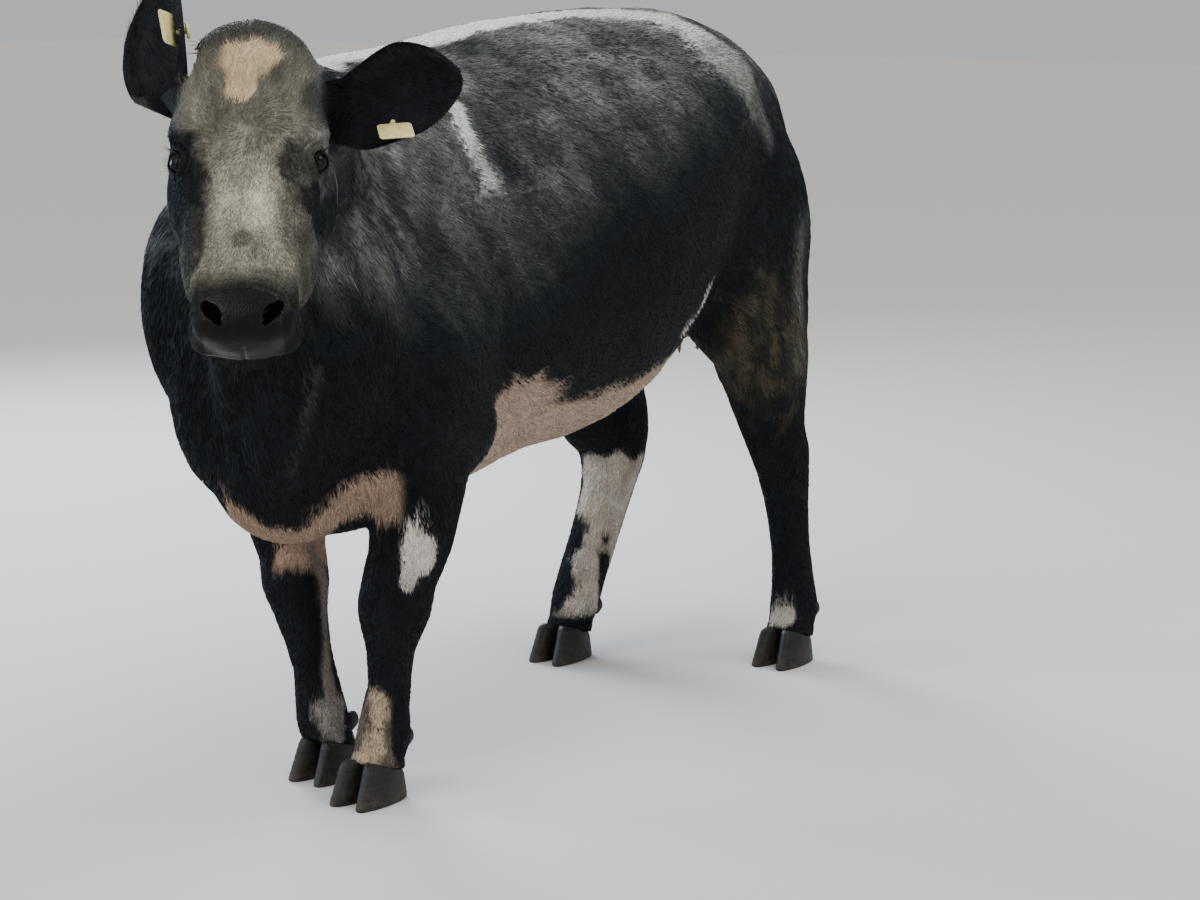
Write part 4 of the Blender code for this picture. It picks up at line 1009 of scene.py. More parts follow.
EAR_LENGTH = 0.200
EAR_WIDTH = 0.148
EAR_INSIDE = (0.014, 0.016, 0.022)
EAR_ROWS = [
    # share of the length, share of the half width, depth of the cup, bend back, thickness
    (-0.16, 0.52, 1.20, 0.000, 0.020),
    (0.00, 0.70, 1.10, 0.000, 0.013),
    (0.10, 0.84, 0.95, 0.000, 0.010),
    (0.25, 0.97, 0.78, 0.002, 0.008),
    (0.42, 1.02, 0.60, 0.005, 0.007),
    (0.60, 0.95, 0.50, 0.010, 0.006),
    (0.76, 0.75, 0.42, 0.016, 0.005),
    (0.88, 0.50, 0.36, 0.022, 0.005),
    (0.96, 0.26, 0.30, 0.027, 0.004),
    (0.99, 0.08, 0.30, 0.029, 0.003),
]


def ear_frame(side):
    """Base, direction of length, of width, and the way the cup faces, as in the part."""
    away = FACE_LEFT * side
    ahead = np.array((math.sin(HEAD_TURN), -math.cos(HEAD_TURN), 0))
    base = on_head(side * (0.132 if side > 0 else 0.120), 0.052, 0.004)
    if side > 0:
        length = unit(away + UP * 0.06 - ahead * 0.16)
        faces = unit(ahead - UP * 0.12)
    else:
        length = unit(UP * 0.92 + away * 0.18 - ahead * 0.34)
        faces = unit(away * 0.62 + ahead * 0.62)
    faces = unit(faces - length * (faces @ length))
    width = np.cross(faces, length)
    far_rim = UP if side > 0 else away
    return base, length, width if width @ far_rim > 0 else -width, faces


def ear_drop(side, share):
    """How far the left ear's root hangs below the line of its length."""
    return 0.024 * fall(np.asarray(share), 0.0, 0.50) * (side > 0)


def ear_row(share):
    """Half width, cup and bend at a share of the ear's length."""
    rows = np.array(EAR_ROWS)
    broad, cup, bend = (np.interp(share, rows[:, 0], rows[:, k]) for k in (1, 2, 3))
    return EAR_WIDTH / 2 * broad, cup, bend


def ear_rise(across, half, cup):
    """How far the cup's surface rises at a place across from -1 to 1."""
    return cup * half * (across * across - 0.35) * 0.9


def ear_surface(side, share, across, half, cup, bend):
    base, length, width, faces = ear_frame(side)
    base = base - width * ear_drop(side, share)
    base = base - FACE_LEFT * (side * 0.26 * max(-share, 0))
    out = ear_rise(across, half, cup) - bend
    return base + length * (share * EAR_LENGTH) + width * (half * across) + faces * out


def ear_shell(side):
    """A cupped leaf with a rounded rim, its root run into the head."""
    faces = ear_frame(side)[3]
    rings = []
    for share, broad, cup, bend, thick in eased(EAR_ROWS, 5):
        ring = []
        for turn in turns(52):
            across = math.cos(turn)
            inner = 1 - across * across
            lift = math.sin(turn) * thick / 2 * (0.55 + 0.45 * inner)
            lift += 0.0012 * math.sin(9 * across + 14 * share) * inner
            place = ear_surface(side, share, across, EAR_WIDTH / 2 * broad, cup, bend)
            ring.append(place + faces * lift)
        rings.append(ring)
    return lofted("ear_shell", rings, "face")


def ear_numbers(points, side):
    """Share of the length, place across from -1 to 1, and height to the cup's side."""
    base, length, width, faces = ear_frame(side)
    away = points - base
    share = away @ length / EAR_LENGTH
    half, cup, bend = ear_row(share)
    across = (away @ width + ear_drop(side, share)) / np.maximum(half, 1e-4)
    return share, across, away @ faces - (ear_rise(across, half, cup) - bend)


def ear_masks(points):
    """1 on either ear, and 1 inside its cup."""
    on_ear = np.zeros(len(points))
    inside = np.zeros(len(points))
    for side in (1, -1):
        share, across, high = ear_numbers(points, side)
        near = (share < 1.1) * (np.abs(across) < 1.3) * (np.abs(high) < 0.02)
        here = ramp(share, 0.0, 0.08) * near
        on_ear = np.maximum(on_ear, here)
        inside = np.maximum(inside, here * (high > 0.0005) * fall(np.abs(across), 0.9, 1.0))
    return on_ear, inside


def hide_colour(points):
    """Markings with the dark ears laid over them, the right ear painted lighter as a highlight."""
    on_ear, inside = ear_masks(points)
    grey = blob(points - SHIFT, (0.255, -0.30, 1.27), (0.05, 0.05, 0.03), 0.5, 0.5, 0.02, 96)
    # The right ear is painted lighter all over: a painted highlight for the light on it
    shade = 0.07 + 0.22 * uneven(points, 0.018, 95) + 0.16 * (head_numbers(points)[0] < 0)
    dark = tone_colour(np.clip(shade + 0.15 * grey, 0.02, 1))
    dark = blend(dark, EAR_INSIDE, 0.25 * inside)
    return blend(coat_colour(points), dark, on_ear)


def add_colour(obj, name, colour):
    layer = obj.data.color_attributes.new(name, "FLOAT_COLOR", "POINT")
    full = np.ones((len(colour), 4), np.float32)
    full[:, :3] = colour
    layer.data.foreach_set("color", full.ravel())


def add_value(obj, name, value):
    layer = obj.data.attributes.new(name, "FLOAT", "POINT")
    layer.data.foreach_set("value", np.asarray(value, np.float32))


def lid_edge(points):
    """1 on the dark wet rim round each eye."""
    left, right = (fall(eye_distance(points, side), 0.0216, 0.0236) for side in (1, -1))
    return np.maximum(left, right)


def build_skin():
    """The finished skin with its colours and its wet and bare places."""
    skin = base_skin()
    relief(skin)
    for side in (1, -1):
        cut(skin, ear_shell(side), "UNION")
    open_face(skin)
    keep_largest(skin)
    skin.data.calc_loop_triangles()
    count = len(skin.data.loop_triangles)
    if count > MOST_SKIN_TRIANGLES:
        modified(skin, "DECIMATE", ratio=MOST_SKIN_TRIANGLES / count)
    points = points_of(skin)
    rim = lid_edge(points)
    add_colour(skin, "coat_colour", blend(hide_colour(points) * 0.95, LID_BLACK, rim))
    add_value(skin, "wet", np.clip(nose_pad(head_places(points)) + rim, 0, 1))
    skin.data.shade_smooth()
    return skin


# Coat


def skin_triangles(skin):
    """Corner points, normals and unwrap places of the skin's triangles."""
    mesh = skin.data
    mesh.calc_loop_triangles()
    corners = read(mesh.loop_triangles, "vertices", 3, np.int32)
    loops = read(mesh.loop_triangles, "loops", 3, np.int32)
    unwrap = read(mesh.uv_layers.active.data, "uv", 2)
    return points_of(skin)[corners], normals_of(skin)[corners], unwrap[loops]


def unwrap_skin(skin):
    """An unwrap of the skin's own shape."""
    bpy.context.view_layer.objects.active = skin
    skin.select_set(True)
    bpy.ops.object.mode_set(mode="EDIT")
    bpy.ops.mesh.select_all(action="SELECT")
    bpy.ops.uv.smart_project(angle_limit=math.radians(60), island_margin=0.002)
    bpy.ops.object.mode_set(mode="OBJECT")


def density(points):
    """How close the tufts stand."""
    on_ear, inside = ear_masks(points)
    on_face = face_weight(points, -0.06, 0.0)
    close = 1 + on_face * (2.2 + 1.6 * ramp(head_numbers(points)[1], 0.15, 0.3))
    close += 0.9 * fall(points[:, 2], 0.42, 0.60)
    close = blend(close, 2.6 - 1.2 * inside, on_ear)
    return close * (1 - bare_mask(points))


REGIONS = (
    "head_left", "ears", "neck_left", "neck_right", "barrel_left", "barrel_right",
    "rump_left", "rump_right", "forelegs", "hindlegs", "head_right",
)


def region_of(points):
    """The number of the coat piece that each root belongs to."""
    x, y, z = (points - SHIFT).T
    region = np.where(y < 0.16, 2, np.where(y < 0.78, 4, 6)) + (x < 0)
    region = np.where((z < 0.60) & (y < 0.22) & (np.abs(x) > 0.02), 8, region)
    region = np.where((z < 0.62) & (y > 0.76), 9, region)
    half = np.where(head_numbers(points)[0] > 0, 0, 10)
    region = np.where(face_weight(points, -0.06, -0.02) > 0.5, half, region)
    return np.where(ear_masks(points)[0] > 0.5, 1, region)


TUFT_FACES = np.array(((0, 1, 3), (0, 3, 2), (0, 2, 1), (4, 3, 1), (4, 2, 3), (4, 1, 2)))
PATCH = np.array(((0.0, -0.0015), (-0.0013, 0.0), (0.0013, 0.0), (0.0, 0.0004), (0.0, 0.0015)))


def tuft_points(roots, normals, lie, length, width, rise, tree):
    """Five points a tuft: root, two sides, ridge and tip. The tip hugs the skin."""
    across = np.cross(normals, lie)
    root = roots - normals * TUFT_DEPTH
    middle = roots + lie * (0.40 * length)[:, None] + normals * (0.45 * rise)[:, None]
    left = middle + across * (width / 2)[:, None] - normals * 0.0003
    right = middle - across * (width / 2)[:, None] - normals * 0.0003
    ridge = middle + normals * (0.30 * width)[:, None]
    tip = roots + lie * length[:, None]
    for k in range(len(tip)):
        place, normal, _, _ = tree.find_nearest(tip[k])
        tip[k] = place + normal * rise[k]
    return np.stack([root, left, right, ridge, tip], axis=1)


def scattered(skin, count):
    """Random points over the skin: their places, normals and places in the unwrap."""
    corners, corner_normals, unwrap = skin_triangles(skin)
    sides = corners[:, 1] - corners[:, 0], corners[:, 2] - corners[:, 0]
    area = 0.5 * np.linalg.norm(np.cross(*sides), axis=1)
    share = area * density(corners.mean(axis=1))
    chosen = np.searchsorted(np.cumsum(share), CHANCE.random(count) * share.sum())
    chosen = np.minimum(chosen, len(share) - 1)
    mix = CHANCE.random((count, 2))
    over = mix.sum(axis=1) > 1
    mix[over] = 1 - mix[over]
    mix = columns(1 - mix.sum(axis=1), mix[:, 0], mix[:, 1])[:, :, None]
    roots = (corners[chosen] * mix).sum(axis=1)
    normals = unit((corner_normals[chosen] * mix).sum(axis=1))
    places = (unwrap[chosen] * mix).sum(axis=1)
    keep = bare_mask(roots) < 0.5
    return roots[keep], normals[keep], places[keep]


def combed_ears(roots, normals, lie, on_ear):
    """Turns the hair of the ears along them and outward. Gives 1 on their rims."""
    rim = np.zeros(len(roots))
    for side in (1, -1):
        _, length, width, _ = ear_frame(side)
        share, across, _ = ear_numbers(roots, side)
        here = (on_ear > 0.5) & ((roots - eye_centre(0)) @ FACE_LEFT * side > 0)
        way = length + width * (0.7 * np.clip(across, -1, 1))[:, None]
        lie[here] = along_surface(way, normals)[here]
        rim[here] = np.maximum(ramp(np.abs(across), 0.78, 0.95), ramp(share, 0.88, 0.97))[here]
    return rim


def coat(skin, material, count):
    """Tufts over the whole hide, in pieces by region."""
    roots, normals, places = scattered(skin, count)
    count = len(roots)
    lie = coat_lie(roots, normals)
    on_ear, inside = ear_masks(roots)
    rim = combed_ears(roots, normals, lie, on_ear)
    sway = 0.55 * uneven(roots, 0.030, 101) + CHANCE.normal(0, 0.13, count)
    lie = unit(lie + np.cross(normals, lie) * sway[:, None])
    length = hair_length(roots) * CHANCE.uniform(0.65, 1.25, count)
    ear_hair = CHANCE.uniform(*EAR_TUFT_LENGTHS, count) * (1 + 0.3 * inside - 0.4 * rim)
    length = blend(length, ear_hair, on_ear)
    face = face_weight(roots, -0.06, 0.0)
    width = TUFT_WIDTH - 0.0007 * face - 0.0003 * (length < 0.012) - 0.0004 * on_ear
    width *= CHANCE.uniform(0.7, 1.3, count)
    leg = fall(roots[:, 2], 0.40, 0.60)
    rise = TUFT_RISE - 0.0010 * face - 0.0012 * np.maximum(on_ear, 0.7 * leg)
    rise *= CHANCE.uniform(0.3, 1.3, count)
    tree = BVHTree.FromObject(skin, bpy.context.evaluated_depsgraph_get())
    points = tuft_points(roots, normals, lie, length, width, rise, tree)
    colour = hide_colour(roots)
    roan = hump(np.log(colour.mean(axis=1)) - math.log(0.08), 1.1)
    shade = np.exp(CHANCE.normal(0, 1, count) * (0.10 + 0.24 * roan) * (1 - 0.45 * face))
    colour = np.clip(colour * shade[:, None] * 1.08, 0.004, 0.75)
    region = region_of(roots)
    return [
        coat_piece("coat_" + name, region == number, points, places, colour, material)
        for number, name in enumerate(REGIONS)
    ]


def coat_piece(name, chosen, points, places, colour, material):
    """One mesh of tufts with the OFBake map: a small patch for each tuft at its root's place."""
    points, places, colour = points[chosen], places[chosen], colour[chosen]
    count = len(points)
    faces = (TUFT_FACES[None] + 5 * np.arange(count)[:, None, None]).reshape(-1, 3)
    obj = mesh_object(name, points.reshape(-1, 3), faces)
    tint = np.repeat(colour[:, None], 5, axis=1)
    tint[:, 0] *= 0.85
    tint[:, 4] *= 1.10
    add_colour(obj, "coat_colour", tint.reshape(-1, 3))
    add_bake_map(obj, (places[:, None] + PATCH[None]).reshape(-1, 2))
    obj.data.materials.append(material)
    return obj


def add_bake_map(obj, point_places):
    """The OFBake map from one place for each point."""
    corner = read(obj.data.loops, "vertex_index", 1, np.int32)[:, 0]
    places = np.clip(point_places, 0.001, 0.999)[corner]
    obj.data.uv_layers.new(name="OFBake").data.foreach_set("uv", places.astype(np.float32).ravel())


# Materials


def give(tree, target, value):
    """Links a socket, or sets a plain value."""
    if isinstance(value, bpy.types.NodeSocket):
        tree.links.new(value, target)
    else:
        target.default_value = value


def add_node(tree, kind, values=None, **settings):
    """A node with its settings. Its inputs are given by name or number, as values or sockets."""
    node = tree.nodes.new(kind)
    for key, value in settings.items():
        setattr(node, key, value)
    for key, value in (values or {}).items():
        give(tree, node.inputs[key], value)
    return node


def new_material(name, **values):
    made = bpy.data.materials.new(name)
    made.use_nodes = True
    shader = made.node_tree.nodes["Principled BSDF"]
    set_inputs(made.node_tree, shader, **values)
    return made, made.node_tree, shader


def set_inputs(tree, shader, **values):
    for key, value in values.items():
        give(tree, shader.inputs[key.replace("_", " ")], value)


def attribute(tree, name, output="Color"):
    return add_node(tree, "ShaderNodeAttribute", attribute_name=name).outputs[output]


def object_place(tree):
    return add_node(tree, "ShaderNodeTexCoord").outputs["Object"]


def stretched(tree, place, scale):
    return add_node(tree, "ShaderNodeMapping", {"Vector": place, "Scale": scale}).outputs[0]


def cloudy(tree, place, scale, detail, roughness=0.5):
    values = {"Vector": place, "Scale": scale, "Detail": detail, "Roughness": roughness}
    return add_node(tree, "ShaderNodeTexNoise", values).outputs["Fac"]


def mixed(tree, factor, first, second, blend_type="MIX"):
    """A colour mix. Each of the three is a socket or a value."""
    values = {0: factor, 6: first, 7: second}
    return add_node(tree, "ShaderNodeMix", values, data_type="RGBA", blend_type=blend_type).outputs[2]


def ranged(tree, value, low, high, to_low, to_high):
    values = dict(enumerate((value, low, high, to_low, to_high)))
    return add_node(tree, "ShaderNodeMapRange", values).outputs[0]


def group_socket(group, name, kind, way, value=None):
    socket = group.interface.new_socket(name=name, in_out=way, socket_type=kind)
    if value is not None:
        socket.default_value = value
    return socket


def streak_group():
    """Fine hair streaks as a value, stretched along Z and tilted, with a size."""
    group = bpy.data.node_groups.new("hair_streaks", "ShaderNodeTree")
    group_socket(group, "Size", "NodeSocketFloat", "INPUT", 1.0)
    group_socket(group, "Tilt", "NodeSocketFloat", "INPUT", -0.5)
    group_socket(group, "Value", "NodeSocketFloat", "OUTPUT")
    given = group.nodes.new("NodeGroupInput").outputs
    values = {"Vector": object_place(group), "Angle": given["Tilt"]}
    turned = add_node(group, "ShaderNodeVectorRotate", values, rotation_type="X_AXIS").outputs[0]
    streaks = cloudy(group, stretched(group, turned, (420, 420, 38)), given["Size"], 3.0, 0.6)
    add_node(group, "NodeGroupOutput", {"Value": streaks})
    return group


def streaked(tree, streaks, size, tilt):
    values = {"Size": size, "Tilt": tilt}
    return add_node(tree, "ShaderNodeGroup", values, node_tree=streaks).outputs[0]


def streaked_markings(tree, hair, low, high):
    """The markings, dimmed and lit by the hair streaks."""
    dim = ranged(tree, hair, 0.3, 0.7, low, high)
    shade = add_node(tree, "ShaderNodeCombineColor", {0: dim, 1: dim, 2: dim}).outputs[0]
    return mixed(tree, 1.0, attribute(tree, "coat_colour"), shade, "MULTIPLY")


def bumped(tree, height, strength, distance):
    values = {"Height": height, "Strength": strength, "Distance": distance}
    return add_node(tree, "ShaderNodeBump", values).outputs[0]


def hide_material(streaks):
    """Skin: the markings, with hair streaks on the coat and cobbles on the wet nose."""
    made, tree, shader = new_material("heifer_hide")
    hair = streaked(tree, streaks, 1.0, 0.5)
    wet = attribute(tree, "wet", "Fac")
    cobbles = add_node(tree, "ShaderNodeTexVoronoi", {"Vector": object_place(tree), "Scale": 340.0})
    values = {0: wet, 2: hair, 3: cobbles.outputs["Distance"]}
    height = add_node(tree, "ShaderNodeMix", values, data_type="FLOAT").outputs[0]
    set_inputs(
        tree,
        shader,
        Base_Color=streaked_markings(tree, hair, 0.55, 1.35),
        Roughness=ranged(tree, wet, 0, 1, 0.66, 0.32),
        Specular_IOR_Level=ranged(tree, wet, 0, 1, 0.08, 0.13),
        Normal=bumped(tree, height, 0.35, 0.0012),
    )
    return made


def coat_material(streaks):
    """Tufts: the root's colour, with a fine variation along the hair."""
    made, tree, shader = new_material("heifer_coat", Roughness=0.55, Specular_IOR_Level=0.12)
    hair = streaked(tree, streaks, 2.2, 0.5)
    set_inputs(tree, shader, Base_Color=streaked_markings(tree, hair, 0.75, 1.25))
    return made


def long_hair_material(streaks, name, light):
    """Long hair and lashes, from near black to the light colour."""
    made, tree, shader = new_material(name, Roughness=0.50, Specular_IOR_Level=0.20)
    share = ranged(tree, streaked(tree, streaks, 1.5, 0.0), 0.3, 0.7, 0, 1)
    set_inputs(tree, shader, Base_Color=mixed(tree, share, (0.006, 0.006, 0.006, 1), (*light, 1)))
    return made


def horn_material():
    """Dark hoof horn with growth rings and dried mud low down."""
    made, tree, shader = new_material("hoof_horn", Specular_IOR_Level=0.28)
    place = object_place(tree)
    rings = cloudy(tree, stretched(tree, place, (12, 12, 420)), 1.0, 3.0)
    blotches = cloudy(tree, place, 60.0, 6.0, 0.65)
    share = ranged(tree, rings, 0.35, 0.7, 0, 1)
    horn = mixed(tree, share, (0.0065, 0.0065, 0.0065, 1), (0.017, 0.016, 0.014, 1))
    height = add_node(tree, "ShaderNodeSeparateXYZ", {0: place}).outputs["Z"]
    values = {
        0: ranged(tree, height, 0.0, 0.050, 0.60, 0.0),
        1: ranged(tree, blotches, 0.42, 0.60, 0, 1),
    }
    mud = add_node(tree, "ShaderNodeMath", values, operation="MULTIPLY").outputs[0]
    set_inputs(
        tree,
        shader,
        Base_Color=mixed(tree, mud, horn, (0.080, 0.060, 0.040, 1)),
        Roughness=ranged(tree, blotches, 0.3, 0.7, 0.38, 0.72),
        Normal=bumped(tree, rings, 0.4, 0.0012),
    )
    return made


def eye_material():
    """Dark, wet and glassy, in the eyeball's own colours."""
    looks = {"Roughness": 0.16, "Specular_IOR_Level": 0.16, "Coat_Weight": 0.12, "Coat_Roughness": 0.02}
    made, tree, shader = new_material("wet_eye", **looks)
    set_inputs(tree, shader, Base_Color=attribute(tree, "eye_colour"))
    return made


def tag_material():
    """Pale yellow sheet plastic, dulled and specked with dirt."""
    made, tree, shader = new_material("ear_tag_sheet")
    dirt = cloudy(tree, object_place(tree), 90.0, 6.0, 0.7)
    share = ranged(tree, dirt, 0.48, 0.72, 0, 0.75)
    set_inputs(
        tree,
        shader,
        Base_Color=mixed(tree, share, (0.72, 0.62, 0.25, 1), (0.26, 0.21, 0.11, 1)),
        Roughness=ranged(tree, dirt, 0.3, 0.7, 0.32, 0.6),
        Normal=bumped(tree, dirt, 0.25, 0.0006),
    )
    return made


# Eyes

EYE_DARK = (0.0085, 0.0065, 0.0060)
IRIS_BROWN = (0.0052, 0.0033, 0.0026)
PUPIL_BLACK = (0.0015, 0.0015, 0.0020)


def eyeball(side):
    """A ball with a raised cornea, a brown iris and a level, oblong pupil."""
    out, along, up = eye_axes(side)
    bm = bmesh.new()
    bmesh.ops.create_icosphere(bm, subdivisions=6, radius=1)
    unit_points = np.array([vert.co for vert in bm.verts])
    facing = unit_points @ out
    sideways = unit_points @ along
    upward = unit_points @ up
    cornea = ramp(facing, 0.80, 0.93)
    radius = EYE_RADIUS - 0.0012 + 0.0010 * cornea
    for vert, place, size in zip(bm.verts, unit_points, radius):
        vert.co = Vector(eye_centre(side) + place * size)
    obj = bmesh_object("eyeball_left" if side > 0 else "eyeball_right", bm)
    away = np.hypot(sideways, upward) / 0.62
    iris = fall(away, 0.94, 1.02)
    pupil = fall(np.hypot(sideways / 0.34, upward / 0.20), 0.86, 1.06)
    ray = 0.5 + 0.5 * np.sin(np.arctan2(upward, sideways) * 46 + 5 * noise(unit_points, 0.2, 5))
    brown = np.array(IRIS_BROWN) * (0.7 + 0.9 * ray * ramp(away, 0.4, 0.8))[:, None]
    colour = blend(np.full((len(away), 3), EYE_DARK), brown, iris)
    add_colour(obj, "eye_colour", blend(colour, PUPIL_BLACK, pupil))
    return obj


# Strands: lashes, whiskers, ear fringes and the tail's long hair


def strand_tree():
    """Turns runs of edges into tapered, closed strands."""
    tree = bpy.data.node_groups.new("strands", "GeometryNodeTree")
    group_socket(tree, "Geometry", "NodeSocketGeometry", "INPUT")
    finish = group_socket(tree, "Material", "NodeSocketMaterial", "INPUT")
    group_socket(tree, "Geometry", "NodeSocketGeometry", "OUTPUT")
    given = tree.nodes.new("NodeGroupInput").outputs
    named = add_node(tree, "GeometryNodeInputNamedAttribute", {"Name": "thickness"}, data_type="FLOAT")
    thick = named.outputs["Attribute"]
    curve = add_node(tree, "GeometryNodeMeshToCurve", {"Mesh": given["Geometry"]}).outputs[0]
    curve = add_node(tree, "GeometryNodeSetCurveRadius", {"Curve": curve, "Radius": thick}).outputs[0]
    values = {"Resolution": 3, "Radius": 1.0}
    profile = add_node(tree, "GeometryNodeCurvePrimitiveCircle", values).outputs["Curve"]
    values = {"Curve": curve, "Profile Curve": profile, "Fill Caps": True}
    tubes = add_node(tree, "GeometryNodeCurveToMesh", values)
    if "Scale" in tubes.inputs:
        give(tree, tubes.inputs["Scale"], thick)
    whole = add_node(tree, "GeometryNodeRealizeInstances", {0: tubes.outputs[0]}).outputs[0]
    values = {"Geometry": whole, "Material": given["Material"]}
    painted = add_node(tree, "GeometryNodeSetMaterial", values).outputs[0]
    add_node(tree, "NodeGroupOutput", {"Geometry": painted})
    return tree, finish.identifier


def strands(name, routes, thick, maker, material):
    """Strands along routes of the same number of points. The taper goes to a fine tip."""
    tree, finish_key = maker
    routes = np.asarray(routes)
    count, steps, _ = routes.shape
    mesh = bpy.data.meshes.new(name)
    index = np.arange(count * steps).reshape(count, steps)
    edges = np.stack([index[:, :-1].ravel(), index[:, 1:].ravel()], axis=1)
    mesh.from_pydata(routes.reshape(-1, 3).tolist(), edges.tolist(), [])
    obj = new_object(name, mesh)
    taper = np.maximum(1 - np.linspace(0, 1, steps) ** 1.8, 0.06)
    thick = np.broadcast_to(thick, count)
    add_value(obj, "thickness", (thick[:, None] * taper).ravel())
    modifier = obj.modifiers.new("strands", "NODES")
    modifier.node_group = tree
    modifier[finish_key] = material
    applied(obj).data.shade_smooth()
    return obj


def bent(root, way, drop):
    """Five points of a hair that leaves the root along the way and bends off by the drop."""
    return [root + way * share + drop * share * share for share in np.linspace(0, 1, 5)]


UPPER_LASHES = 46
LOWER_LASHES = 18


def lash_routes():
    """Upper lashes, long and swept down and out, and a few lower ones."""
    routes = []
    for side in (1, -1):
        out, along, up = eye_axes(side)
        for k in range(UPPER_LASHES + LOWER_LASHES):
            upper = k < UPPER_LASHES
            share = k / (UPPER_LASHES - 1) if upper else (k - UPPER_LASHES) / (LOWER_LASHES - 1)
            place = share * 2 - 1
            level = 0.0178 * place
            rise = (0.0142 if upper else -0.0102) * (1 - abs(place) ** 1.8) + LID_RAISE
            reach = math.sqrt(max(1e-5, 0.0232**2 - level * level - rise * rise))
            root = eye_centre(side) + along * level + up * rise + out * reach
            long = CHANCE.uniform(0.015, 0.021) if upper else CHANCE.uniform(0.006, 0.010)
            sideways = along * (0.5 * place + CHANCE.normal(0, 0.10))
            way = unit(out + sideways + up * (0.10 if upper else -0.5))
            routes.append(bent(root, way * long, -up * (0.45 if upper else 0.1) * long))
    return routes


def whisker_routes(tree):
    """Sparse stiff hairs on muzzle and chin."""
    routes = []
    while len(routes) < 90:
        left = CHANCE.uniform(-0.085, 0.085)
        along = CHANCE.uniform(0.38, 0.53)
        out = CHANCE.uniform(-0.135, -0.02)
        place, normal, _, away = tree.find_nearest(on_head(left, along, out))
        if away > 0.02 or nose_mask(head_places(np.array([place])))[0] > 0.3:
            continue
        normal = np.array(normal)
        root = np.array(place) - normal * 0.001
        way = unit(normal + FACE_ALONG * 0.5 + CHANCE.normal(0, 0.2, 3))
        long = CHANCE.uniform(0.015, 0.035)
        routes.append(bent(root, way * long, -UP * 0.25 * long))
    return routes


def ear_fringe_routes():
    """Long hair inside each ear and along its rims."""
    routes = []
    for side in (1, -1):
        _, length, width, faces = ear_frame(side)
        for _ in range(520):
            share = CHANCE.uniform(0.04, 0.92)
            rim = CHANCE.random() < 0.6
            if rim:
                across = CHANCE.choice((-1, 1)) * CHANCE.uniform(0.86, 0.98)
            else:
                across = CHANCE.uniform(-0.8, 0.8)
            root = ear_surface(side, share, across, *ear_row(share)) + faces * (0.0 if rim else 0.002)
            long = CHANCE.uniform(0.016, 0.034) * (1 - 0.4 * share)
            inward = -width * np.sign(across)
            if rim:
                way = inward * 0.75 + faces * 0.35 + length * 0.75 + CHANCE.normal(0, 0.2, 3)
            else:
                way = inward * 0.2 + faces * 0.7 + length * 0.8 + CHANCE.normal(0, 0.25, 3)
            routes.append(bent(root, unit(way) * long, length * 0.25 * long))
    return routes


SWITCH_STRANDS = 1500
SWITCH_SWAY = np.array((0.030, 0.010, 0.0))


def switch_routes():
    """Long hair hanging from the end of the tail in loose, wavy locks."""
    low, high, middle = box_of("tail_switch")
    top = np.array((*middle[:2], high[2] + 0.012))
    reach = high[2] - low[2]
    routes = []
    locks = []
    for _ in range(34):
        locks.append((CHANCE.uniform(0, 2 * math.pi), CHANCE.uniform(0.35, 1.0), CHANCE.uniform(0, 6)))
    steps = np.linspace(0, 1, 9)
    for k in range(SWITCH_STRANDS):
        angle, far, phase = locks[k % len(locks)]
        angle += CHANCE.normal(0, 0.16)
        start = CHANCE.uniform(0, 0.42) ** 1.1
        long = reach * (1 - start) * CHANCE.uniform(0.72, 0.99)
        way = np.array((math.cos(angle), math.sin(angle), 0))
        side = np.array((-way[1], way[0], 0))
        root = top - UP * reach * start + way * 0.012
        spread = 0.021 * far * CHANCE.uniform(0.8, 1.1)
        route = []
        for share in steps:
            bulge = spread * math.sin(min(1.0, share * 1.25) * math.pi * 0.62)
            wave = 0.0028 * math.sin(phase + 7 * share) * share
            sway = way * (bulge + wave) + side * wave * 0.7 + SWITCH_SWAY * share
            route.append(root + sway - UP * long * share)
        routes.append(route)
    return routes


def box_bake_map(obj, name):
    """An OFBake map for long hair: round it and down it, from its box."""
    low, high, middle = box_of(name)
    points = points_of(obj)
    turn = np.arctan2(points[:, 1] - middle[1], points[:, 0] - middle[0]) / (2 * math.pi) + 0.5
    rise = (points[:, 2] - low[2]) / (high[2] - low[2])
    add_bake_map(obj, np.stack([0.02 + 0.96 * turn, 0.02 + 0.94 * rise], axis=1))


# Claws

CLAW_WIDTH = 0.048
CLAW_TOE = 0.082
CLAW_HEEL = 0.048
CLAW_SPLAY = math.radians(4)
CORONET_HEIGHT = 0.060
CORONET_SLOPE = math.radians(14)
FEET = {
    "foreleg_left": (0.076, -0.046),
    "foreleg_right": (-0.076, 0.022),
    "hindleg_left": (0.198, 1.152),
    "hindleg_right": (-0.200, 0.920),
}
CLAW_LEVELS = [
    # height share, width, toe, heel
    (0.00, 0.93, 0.960, 0.93),
    (0.03, 0.99, 0.995, 0.99),
    (0.12, 1.00, 0.970, 1.00),
    (0.50, 0.97, 0.815, 0.95),
    (0.85, 0.95, 0.680, 0.88),
    (1.00, 0.90, 0.610, 0.80),
    (1.10, 0.78, 0.500, 0.66),
]


